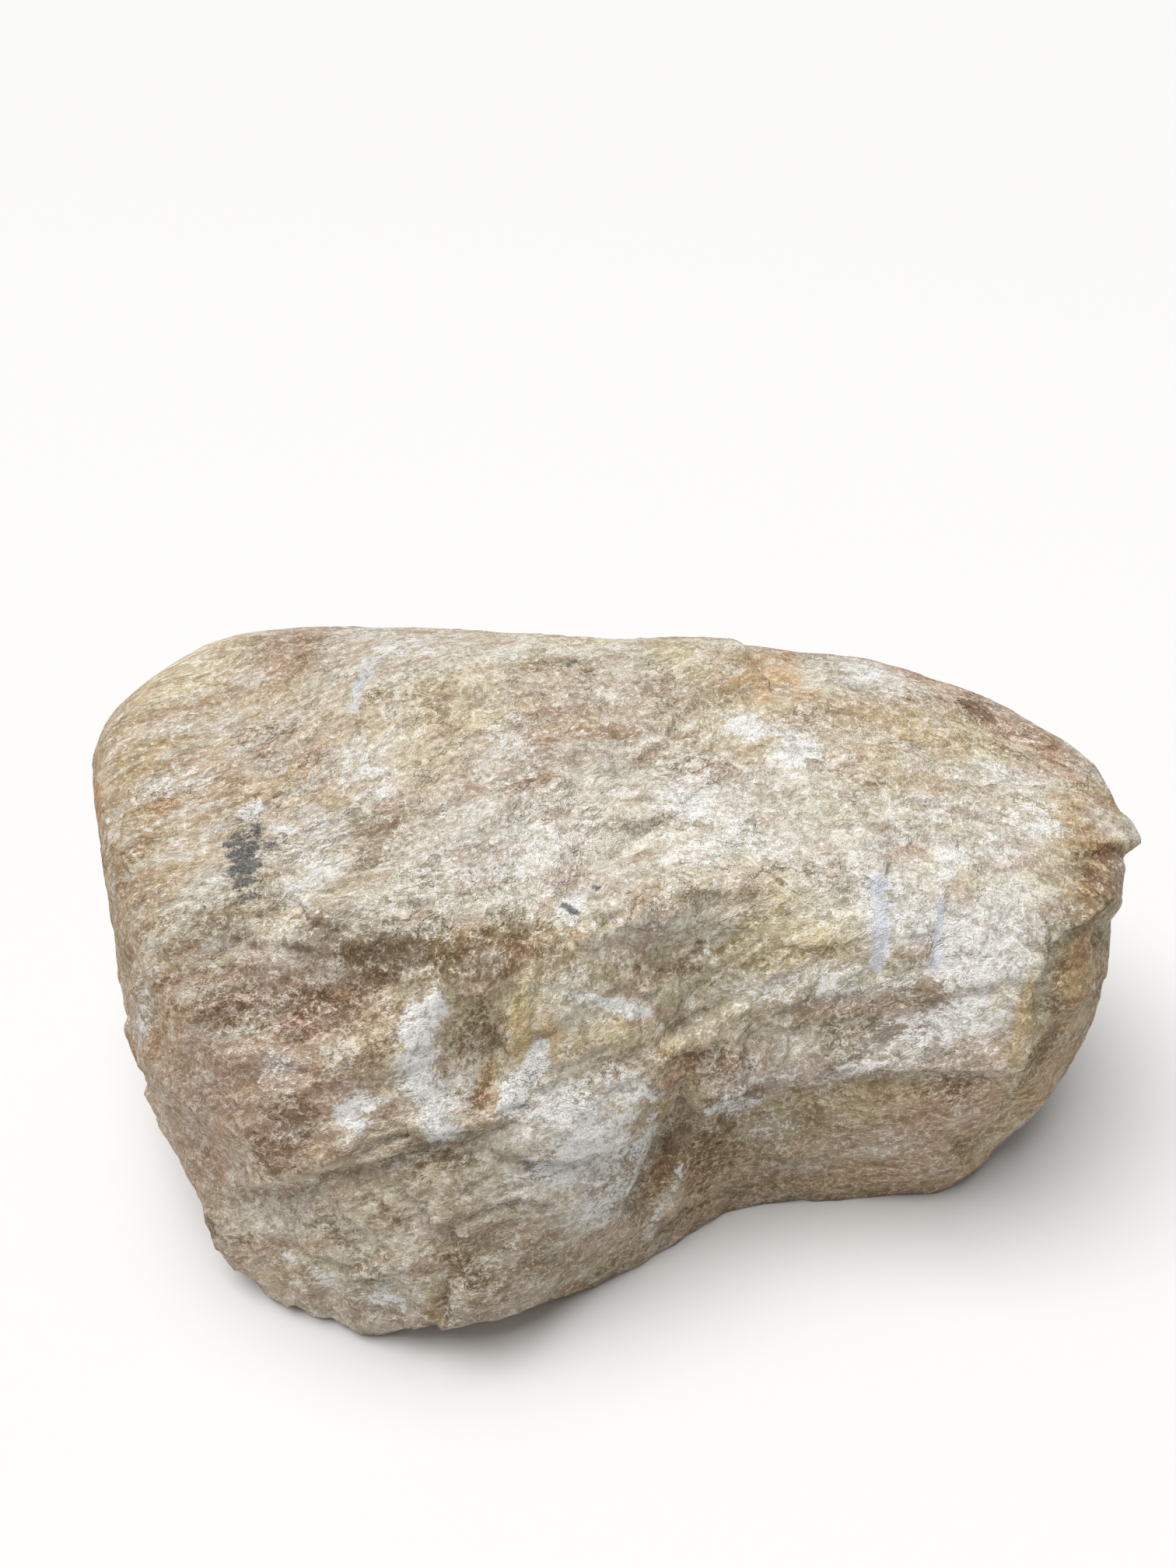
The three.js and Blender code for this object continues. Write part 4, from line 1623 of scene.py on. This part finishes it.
class NodeSheet:
    """Short ways to lay out a material's nodes.

    Attributes:
        material: The material.
        tree: Its node tree.
        output: Its output node.
        MIDDLE: The middle of a coloured noise and of a cell's colour.
        WARP_DETAIL: How many finer noises are added to one that pushes a vector about.
    """

    MIDDLE: ClassVar[tuple[float, float, float]] = (0.5, 0.5, 0.5)
    WARP_DETAIL: ClassVar[float] = 2.0

    def __init__(self, name: str) -> None:
        """Starts an empty material with an output.

        Args:
            name: The material's name.
        """
        self.material = bpy.data.materials.new(name)
        self.material.use_nodes = True
        self.tree = self.material.node_tree
        self.tree.nodes.clear()
        self.output = self.tree.nodes.new("ShaderNodeOutputMaterial")

    def node(self, kind: str, inputs: dict[str | int, Feed] | None = None, **settings: Any) -> bpy.types.Node:
        """Adds a node, sets its properties and fills its inputs.

        Args:
            kind: The node's type.
            inputs: Numbers, colours, vectors or sockets, by the input's name or number.
            **settings: The node's properties.

        Returns:
            The node.
        """
        made = self.tree.nodes.new(kind)
        for key, value in settings.items():
            setattr(made, key, value)
        for key, value in (inputs or {}).items():
            self.feed(made.inputs[key], value)
        return made

    def feed(self, socket: Socket, value: Feed) -> None:
        """Puts a value or a link into a socket.

        Args:
            socket: The input to fill.
            value: A number, colour or vector to set, or a socket to link.
        """
        if isinstance(value, Socket):
            self.tree.links.new(value, socket)
        else:
            socket.default_value = value

    def attribute(self, name: str, output: str = "Fac") -> Socket:
        """Reads a value stored on the mesh."""
        return self.node("ShaderNodeAttribute", attribute_name=name).outputs[output]

    def mask(self, layer: Layer) -> Socket:
        """Reads a layer's mask."""
        return self.attribute(layer.value)

    def math(self, kind: Sum, *numbers: Feed) -> Socket:
        """One sum on numbers."""
        return self.node("ShaderNodeMath", dict(enumerate(numbers)), operation=kind.value).outputs[0]

    def times(self, first: Feed, second: Feed) -> Socket:
        """The product of two numbers."""
        return self.math(Sum.MULTIPLY, first, second)

    def sum(self, *parts: tuple[float, Socket]) -> Socket:
        """A weighted sum.

        Args:
            *parts: A weight and a socket each.

        Returns:
            The sum.
        """
        total = self.times(parts[0][1], parts[0][0])
        for weight, part in parts[1:]:
            total = self.math(Sum.MULTIPLY_ADD, part, weight, total)
        return total

    def stretched(self, vector: Feed, scale: tuple[float, float, float]) -> Socket:
        """A vector with each of its parts scaled."""
        return self.node("ShaderNodeMapping", {"Vector": vector, "Scale": scale}).outputs[0]

    def noise(self, vector: Feed, pattern: Pattern) -> Socket:
        """A noise on a vector.

        Args:
            vector: Object or grain coordinates.
            pattern: Its scale and detail.

        Returns:
            Values about 0.5.
        """
        scale = pattern.scale
        if isinstance(scale, tuple):
            vector, scale = self.stretched(vector, scale), 1.0
        inputs = {"Vector": vector, "Scale": scale, "Detail": pattern.detail, "Roughness": pattern.roughness}
        return self.node("ShaderNodeTexNoise", inputs).outputs["Fac"]

    def ramp(self, value: Feed, span: Span) -> Socket:
        """A straight ramp, held at its ends.

        Args:
            value: What it reads.
            span: Where it starts and ends.

        Returns:
            What it gives.
        """
        inputs = {"From Min": span.low, "From Max": span.high, "To Min": span.to_low, "To Max": span.to_high}
        return self.node("ShaderNodeMapRange", {"Value": value, **inputs}, clamp=True).outputs[0]

    def lines(self, noise: Socket, half_width: float) -> Socket:
        """Winding lines where a noise crosses its middle: a ramp of |noise - 0.5| from half_width to 0."""
        distance = self.math(Sum.ABSOLUTE, self.math(Sum.SUBTRACT, noise, 0.5))
        return self.ramp(distance, Span(half_width, 0.0))

    def mixed(self, share: Feed, first: Feed, second: Feed) -> Socket:
        """One number turning into another.

        Args:
            share: How much of the second there is.
            first: The number at a share of 0.
            second: The number at a share of 1.

        Returns:
            The number between them.
        """
        made = self.node("ShaderNodeMix", data_type="FLOAT")
        for index, value in ((0, share), (2, first), (3, second)):
            self.feed(made.inputs[index], value)
        return made.outputs[0]

    def blend(self, share: Feed, below: Feed, above: Feed, kind: Overlay = Overlay.COVER) -> Socket:
        """One colour over another.

        Args:
            share: How much of the upper one shows.
            below: The colour below.
            above: The colour above.
            kind: How it goes over.

        Returns:
            The colour that shows.
        """
        made = self.node("ShaderNodeMix", data_type="RGBA", blend_type=kind.value)
        for index, value in ((0, share), (6, below), (7, above)):
            self.feed(made.inputs[index], value)
        return made.outputs[2]

    def tinted(self, colour: Feed, shade: Shade) -> Socket:
        """A colour with its red, green and blue multiplied."""
        return self.blend(1.0, colour, (*shade, 1.0), Overlay.TINT)

    def shaded(self, colour: Feed, share: Feed) -> Socket:
        """A colour made darker or lighter by a number."""
        grey = self.node("ShaderNodeCombineColor", {0: share, 1: share, 2: share}).outputs[0]
        return self.blend(1.0, colour, grey, Overlay.TINT)

    def vector_math(self, kind: Sum, *vectors: Feed) -> bpy.types.Node:
        """One sum on vectors."""
        return self.node("ShaderNodeVectorMath", dict(enumerate(vectors)), operation=kind.value)

    def warped(self, vector: Feed, place: Feed, scale: float, reach: float) -> Socket:
        """A vector pushed about by a noise on another.

        Args:
            vector: The vector to push.
            place: What the noise reads.
            scale: The noise's scale, per metre.
            reach: Twice how far it may push each way, in metres.

        Returns:
            The pushed vector.
        """
        inputs = {"Vector": place, "Scale": scale, "Detail": self.WARP_DETAIL}
        noise = self.node("ShaderNodeTexNoise", inputs).outputs["Color"]
        centred = self.vector_math(Sum.SUBTRACT, noise, self.MIDDLE).outputs[0]
        return self.vector_math(Sum.MULTIPLY_ADD, centred, (reach, reach, reach), vector).outputs[0]

    def planes(self, vector: Feed) -> tuple[Socket, Socket]:
        """Tilted planes, one to a cell: the offset from the cell's point times a slope of its own.

        Args:
            vector: The coordinates that the cells divide.

        Returns:
            The height on the planes, and each cell's own chance value.
        """
        cells = self.node("ShaderNodeTexVoronoi", {"Vector": vector, "Scale": 1.0}, feature="F1").outputs
        offset = self.vector_math(Sum.SUBTRACT, vector, cells["Position"]).outputs[0]
        slope = self.vector_math(Sum.SUBTRACT, cells["Color"], self.MIDDLE).outputs[0]
        tilt = self.vector_math(Sum.DOT, offset, slope).outputs["Value"]
        chance = self.node("ShaderNodeSeparateColor", {0: cells["Color"]}).outputs[0]
        return tilt, chance

    def torn(self, mask: Feed, tear: Feed, rip: Rip) -> Socket:
        """A mask with a ragged edge: it covers where (1 + reach) mask is over reach x tear.

        Args:
            mask: The mask.
            tear: 0 to 1, what the mask is torn by.
            rip: How far and how softly.

        Returns:
            0 to 1.
        """
        return self.ramp(self.sum((1.0 + rip.reach, mask), (-rip.reach, tear)), Span(0.0, rip.edge))


@dataclass(frozen=True)
class Signals:
    """The patterns that the finish's colours share.

    Attributes:
        place: Object coordinates.
        grain: The grain's coordinates, pushed about a little.
        grit: The finest grains.
        crest: 1 on the lacy crests.
        value: About 0.5, higher on fibres and crests and lower in cracks.
        height: The relief that is too fine for the mesh.
        tear: 0 on what stands high and 1 on what lies low, which tears the layers' edges.
    """

    place: Socket
    grain: Socket
    grit: Socket
    crest: Socket
    value: Socket
    height: Socket
    tear: Socket


@dataclass(frozen=True)
class CalciteFinish:
    """Fibrous calcite: broken flakes and satin fibres, sugary in places, under its stains and crusts.

    Attributes:
        push: Scale and reach of the noise that pushes the grain about, per metre and in metres.
        fray: The same for the flakes, crests and cracks.
        fibre: The fibres.
        sugar: The sugary crumbs that take their place.
        sugar_places: The noise that says where.
        sugar_span: Its values from no crumbs to crumbs alone.
        flake: Scale of the broken flakes along, across and through the grain, per metre.
        grit: The finest grains.
        crest: The noise whose middle the lacy pale crests follow.
        crest_half: Half a crest's width, as a share of that noise's swing.
        crack: The noise whose middle the fine dark cracks follow.
        crack_half: Half a crack's width.
        crack_places: The noise that says where there are cracks.
        crack_span: Its values from none to whole ones.
        height_shares: Weights of fibre, flake tilt, flake chance, crest, crack and grit in the height.
        value_shares: Weights of fibre, grit, flake chance, crest and crack in the value.
        depth: Depth of the fine relief, in metres.
        painted_pit_shade: What the low places' tint is multiplied by: painted shade in the fine relief's
            pits.
        painted_pit_span: Values from the painted-shade low places to plain ones.
        lace_span: Values where the crests turn pale.
        lace_strength: How pale they turn.
        fleck_span: Values where the chalky flecks show.
        fleck_places: The noise that thins the flecks out.
        fleck_places_span: How far it does.
        tear_span: Values where the tear is 0 and where it is 1.
        honey: The honey stain, in the high places first.
        rust: The rust stain, in the high places first.
        dirt: Dirt, and painted shade in hollows, creases and under ledges, in the low places first.
        painted_relief_shade: How dark the low places and how light the high ones are: painted shade and
            painted light of the fine relief.
        powder_span: The grit's values from ivory to chalk in the crust.
        powder_painted_shade: How dark and light the crust is by its relief: painted shade and painted light.
        film_span: How much of a thin film the crust leaves everywhere under it.
        crust_thickness: The share of the crust's mask that is torn.
        crust_rip: How its edge is torn.
        scrape_painted_shade: How dark and light the scraped scars are by the relief: painted shade and
            painted light.
        scrape_strength: How much of what is below them they hide.
        scrape_rip: How their edge is torn.
        speckle: The noise that tears the slate's edge.
        speckle_span: Its values from no tear to a whole one.
        slate_grain: The noise of the slate's grains.
        slate_light: How dark and light they are.
        slate_strength: How much of what is below it the slate hides.
        slate_rip: How its edge is torn.
        rough_span: The roughness from the smoothest grain to the roughest.
        honey_polish: How much smoother the honey places are.
        specular: The strength of plain reflections.
    """

    push: tuple[float, float] = (60.0, 0.004)
    fray: tuple[float, float] = (380.0, 0.0020)
    fibre: Pattern = Pattern((280.0, 430.0, 380.0), 5.0, 0.66)
    sugar: Pattern = Pattern(420.0, 5.0, 0.68)
    sugar_places: Pattern = Pattern(26.0)
    sugar_span: Span = Span(0.36, 0.54)
    flake: tuple[float, float, float] = (220.0, 330.0, 300.0)
    grit: Pattern = Pattern(1100.0, 3.0, 0.75)
    crest: Pattern = Pattern((240.0, 320.0, 300.0), 3.0)
    crest_half: float = 0.060
    crack: Pattern = Pattern((90.0, 170.0, 150.0), 3.0)
    crack_half: float = 0.016
    crack_places: Pattern = Pattern(45.0)
    crack_span: Span = Span(0.48, 0.62)
    height_shares: tuple[float, ...] = (0.55, 0.7, 0.10, 0.10, -0.20, 0.34)
    value_shares: tuple[float, ...] = (0.56, 0.30, 0.08, 0.10, -0.11)
    depth: float = 0.0026
    painted_pit_shade: Shade = (0.75, 0.67, 0.54)
    painted_pit_span: Span = Span(0.36, 0.54)
    lace_span: Span = Span(0.46, 0.62)
    lace_strength: float = 0.6
    fleck_span: Span = Span(0.53, 0.65)
    fleck_places: Pattern = Pattern(90.0, 2.0, 0.55)
    fleck_places_span: Span = Span(0.3, 0.7, 0.3, 1.0)
    tear_span: Span = Span(0.64, 0.38)
    honey: Stain = Stain(Layer.HONEY, (0.97, 0.86, 0.58), 0.6, Rip(0.8, 0.7))
    rust: Stain = Stain(Layer.RUST, (0.97, 0.74, 0.54), 0.8, Rip(1.0, 1.1))
    dirt: Stain = Stain(Layer.DIRT_AND_SHADE, (0.52, 0.44, 0.34), 0.8, Rip(1.8, 1.2))
    painted_relief_shade: Span = Span(0.37, 0.62, 0.71, 1.17)
    powder_span: Span = Span(0.35, 0.6)
    powder_painted_shade: Span = Span(0.37, 0.54, 0.79, 1.08)
    film_span: Span = Span(0.0, 1.0, 0.0, 0.4)
    crust_thickness: float = 0.78
    crust_rip: Rip = Rip(2.3, 1.1)
    scrape_painted_shade: Span = Span(0.36, 0.60, 0.86, 1.04)
    scrape_strength: float = 0.8
    scrape_rip: Rip = Rip(0.8, 1.0)
    speckle: Pattern = Pattern(420.0, 4.0, 0.8)
    speckle_span: Span = Span(0.38, 0.62)
    slate_grain: Pattern = Pattern(1100.0, 3.0, 0.8)
    slate_light: Span = Span(0.38, 0.62, 0.45, 2.1)
    slate_strength: float = 0.9
    slate_rip: Rip = Rip(1.2, 0.8)
    rough_span: Span = Span(0.3, 0.7, 0.6, 0.85)
    honey_polish: float = 0.2
    specular: float = 0.35

    def signals(self, sheet: NodeSheet) -> Signals:
        """Lays out the patterns that the colours share.

        Args:
            sheet: The sheet to lay them on.

        Returns:
            Their sockets.
        """
        place = sheet.node("ShaderNodeTexCoord").outputs["Object"]
        grain = sheet.warped(sheet.attribute("grain", "Vector"), place, *self.push)
        frayed = sheet.warped(grain, place, *self.fray)
        sugary = sheet.ramp(sheet.noise(place, self.sugar_places), self.sugar_span)
        fibre = sheet.mixed(sugary, sheet.noise(grain, self.fibre), sheet.noise(place, self.sugar))
        tilt, chance = sheet.planes(sheet.stretched(frayed, self.flake))
        grit = sheet.noise(place, self.grit)
        crest = sheet.lines(sheet.noise(frayed, self.crest), self.crest_half)
        cracked = sheet.ramp(sheet.noise(place, self.crack_places), self.crack_span)
        crack = sheet.times(sheet.lines(sheet.noise(frayed, self.crack), self.crack_half), cracked)
        height = sheet.sum(*zip(self.height_shares, (fibre, tilt, chance, crest, crack, grit)))
        value = sheet.sum(*zip(self.value_shares, (fibre, grit, chance, crest, crack)))
        return Signals(place, grain, grit, crest, value, height, sheet.ramp(value, self.tear_span))

    def ground(self, sheet: NodeSheet, signals: Signals) -> Socket:
        """The stone's colour: its tint, darker in low places as painted shade, with pale crests and flecks.

        Args:
            sheet: The sheet.
            signals: The shared patterns.

        Returns:
            The colour.
        """
        value = signals.value
        tint = sheet.attribute("tint", "Color")
        # painted shade: the tint darkens in the fine relief's low places
        colour = sheet.blend(sheet.ramp(value, self.painted_pit_span), sheet.tinted(tint, self.painted_pit_shade), tint)
        lace = sheet.times(sheet.times(signals.crest, sheet.ramp(value, self.lace_span)), self.lace_strength)
        colour = sheet.blend(lace, colour, Pigment.IVORY.node_colour())
        thinned = sheet.ramp(sheet.noise(signals.grain, self.fleck_places), self.fleck_places_span)
        flecks = sheet.times(sheet.times(sheet.ramp(value, self.fleck_span), thinned), sheet.mask(Layer.DUST))
        return sheet.blend(flecks, colour, Pigment.CHALK.node_colour())

    @staticmethod
    def stained(sheet: NodeSheet, colour: Socket, stain: Stain, cover: Socket) -> Socket:
        """A colour under a stain, where its torn mask covers it."""
        return sheet.blend(sheet.times(cover, stain.strength), colour, sheet.tinted(colour, stain.shade))

    def crusted(self, sheet: NodeSheet, signals: Signals, colour: Socket) -> Socket:
        """A colour under the white crust: a thin film, then the torn crust itself.

        Args:
            sheet: The sheet.
            signals: The shared patterns.
            colour: What lies below.

        Returns:
            The colour that shows.
        """
        cover = sheet.mask(Layer.CRUST)
        ivory, chalk = Pigment.IVORY.node_colour(), Pigment.CHALK.node_colour()
        powder = sheet.blend(sheet.ramp(signals.grit, self.powder_span), ivory, chalk)
        # painted shade in the crust's low places and painted light on its high ones
        powder = sheet.shaded(powder, sheet.ramp(signals.value, self.powder_painted_shade))
        colour = sheet.blend(sheet.ramp(cover, self.film_span), colour, powder)
        crust = sheet.torn(sheet.times(cover, self.crust_thickness), signals.tear, self.crust_rip)
        return sheet.blend(crust, colour, powder)

    def scraped(self, sheet: NodeSheet, signals: Signals, colour: Socket) -> Socket:
        """A colour under the blue-white scars that tools left.

        Args:
            sheet: The sheet.
            signals: The shared patterns.
            colour: What lies below.

        Returns:
            The colour that shows.
        """
        cover = sheet.torn(sheet.mask(Layer.SCRAPE), signals.tear, self.scrape_rip)
        # painted shade in the scars' low places and painted light on their high ones
        scar = sheet.shaded(Pigment.SCRAPE.node_colour(), sheet.ramp(signals.value, self.scrape_painted_shade))
        return sheet.blend(sheet.times(cover, self.scrape_strength), colour, scar)

    def slated(self, sheet: NodeSheet, signals: Signals, colour: Socket) -> Socket:
        """A colour under the granular grey spots.

        Args:
            sheet: The sheet.
            signals: The shared patterns.
            colour: What lies below.

        Returns:
            The colour that shows.
        """
        speckle = sheet.ramp(sheet.noise(signals.place, self.speckle), self.speckle_span)
        cover = sheet.torn(sheet.mask(Layer.SLATE), speckle, self.slate_rip)
        light = sheet.ramp(sheet.noise(signals.place, self.slate_grain), self.slate_light)
        grains = sheet.shaded(Pigment.SLATE.node_colour(), light)
        return sheet.blend(sheet.times(cover, self.slate_strength), colour, grains)

    def build(self) -> bpy.types.Material:
        """Lays out the material's nodes.

        Returns:
            The material.
        """
        sheet = NodeSheet("calcite")
        signals = self.signals(sheet)
        honey = sheet.torn(sheet.mask(Layer.HONEY), signals.tear, self.honey.rip)
        rust = sheet.torn(sheet.mask(Layer.RUST), signals.tear, self.rust.rip)
        # dirt and painted shade, darkest in the low places of the fine relief
        dirt = sheet.torn(sheet.mask(Layer.DIRT_AND_SHADE), sheet.math(Sum.SUBTRACT, 1.0, signals.tear), self.dirt.rip)
        colour = self.ground(sheet, signals)
        for stain, cover in ((self.honey, honey), (self.rust, rust), (self.dirt, dirt)):
            colour = self.stained(sheet, colour, stain, cover)
        # painted shade in the fine relief's low places and painted light on its high ones
        colour = sheet.shaded(colour, sheet.ramp(signals.value, self.painted_relief_shade))
        colour = self.crusted(sheet, signals, colour)
        colour = self.scraped(sheet, signals, colour)
        colour = self.slated(sheet, signals, colour)
        relief = {"Height": signals.height, "Strength": 1.0, "Distance": self.depth}
        bump = sheet.node("ShaderNodeBump", relief).outputs[0]
        polish = sheet.times(honey, self.honey_polish)
        rough = sheet.math(Sum.SUBTRACT, sheet.ramp(signals.grit, self.rough_span), polish)
        inputs = {"Base Color": colour, "Roughness": rough, "Normal": bump}
        shader = sheet.node("ShaderNodeBsdfPrincipled", {**inputs, "Specular IOR Level": self.specular})
        sheet.feed(sheet.output.inputs["Surface"], shader.outputs[0])
        return sheet.material


@dataclass(frozen=True)
class FloorFinish:
    """Plain matt off-white.

    Attributes:
        colour: In linear light.
        roughness: How matt it is.
    """

    colour: Shade = (0.72, 0.715, 0.71)
    roughness: float = 0.9

    def build(self) -> bpy.types.Material:
        """Lays out the material's nodes.

        Returns:
            The material.
        """
        sheet = NodeSheet("studio_white")
        inputs = {"Base Color": (*self.colour, 1.0), "Roughness": self.roughness}
        shader = sheet.node("ShaderNodeBsdfPrincipled", inputs)
        sheet.feed(sheet.output.inputs["Surface"], shader.outputs[0])
        return sheet.material


# ------------------------------------------------------------------------------ the studio
@dataclass(frozen=True)
class Studio:
    """A plain pale floor under one broad soft light, in an evenly lit room.

    Attributes:
        floor_half: Half the floor's side, in metres.
        floor_drop: How far the floor lies below the stone, in metres.
        light_from: Towards the light.
        light_width: How wide the light is, in degrees.
        light_strength: In watts per square metre.
        room_strength: Of the even light from all round.
    """

    floor_half: float = 14.0
    floor_drop: float = 0.0004
    light_from: tuple[float, float, float] = (-0.24, -0.04, 0.97)
    light_width: float = 50.0
    light_strength: float = 3.58
    room_strength: float = 0.27

    def build(self) -> None:
        """Makes the floor, the light and the room."""
        self.lay_floor()
        self.hang_light()
        self.light_room()

    def lay_floor(self) -> None:
        """Makes the floor, one square face."""
        half, drop = self.floor_half, -self.floor_drop
        mesh = bpy.data.meshes.new("studio_floor")
        corners = [(-half, -half, drop), (half, -half, drop), (half, half, drop), (-half, half, drop)]
        mesh.from_pydata(corners, [], [(0, 1, 2, 3)])
        floor = bpy.data.objects.new("studio_floor", mesh)
        bpy.context.scene.collection.objects.link(floor)
        mesh.materials.append(FloorFinish().build())

    def hang_light(self) -> None:
        """Makes the broad light, turned so that it shines from its side."""
        data = bpy.data.lights.new("soft_light", "SUN")
        data.energy, data.angle = self.light_strength, math.radians(self.light_width)
        light = bpy.data.objects.new("soft_light", data)
        x, y, z = self.light_from
        light.rotation_euler = (math.atan2(math.hypot(x, y), z), 0.0, math.atan2(y, x) + math.pi / 2)
        bpy.context.scene.collection.objects.link(light)

    def light_room(self) -> None:
        """Makes the even light from all round."""
        world = bpy.data.worlds.new("studio_room")
        world.use_nodes = True
        sky = world.node_tree.nodes["Background"].inputs
        sky["Color"].default_value = (1.0, 1.0, 1.0, 1.0)
        sky["Strength"].default_value = self.room_strength
        bpy.context.scene.world = world


def main() -> None:
    """Builds the view, the studio and the stone, and reports each piece."""
    logging.basicConfig(level=logging.INFO, format="%(name)s: %(message)s")
    bpy.context.scene.view_settings.view_transform = "Standard"
    VIEW.build()
    Studio().build()
    maker = CalciteStone()
    stone = maker.build()
    maker.dress(stone)
    LOG.info("%s: %d faces", stone.name, len(stone.data.polygons))


if __name__ == "__main__":
    main()
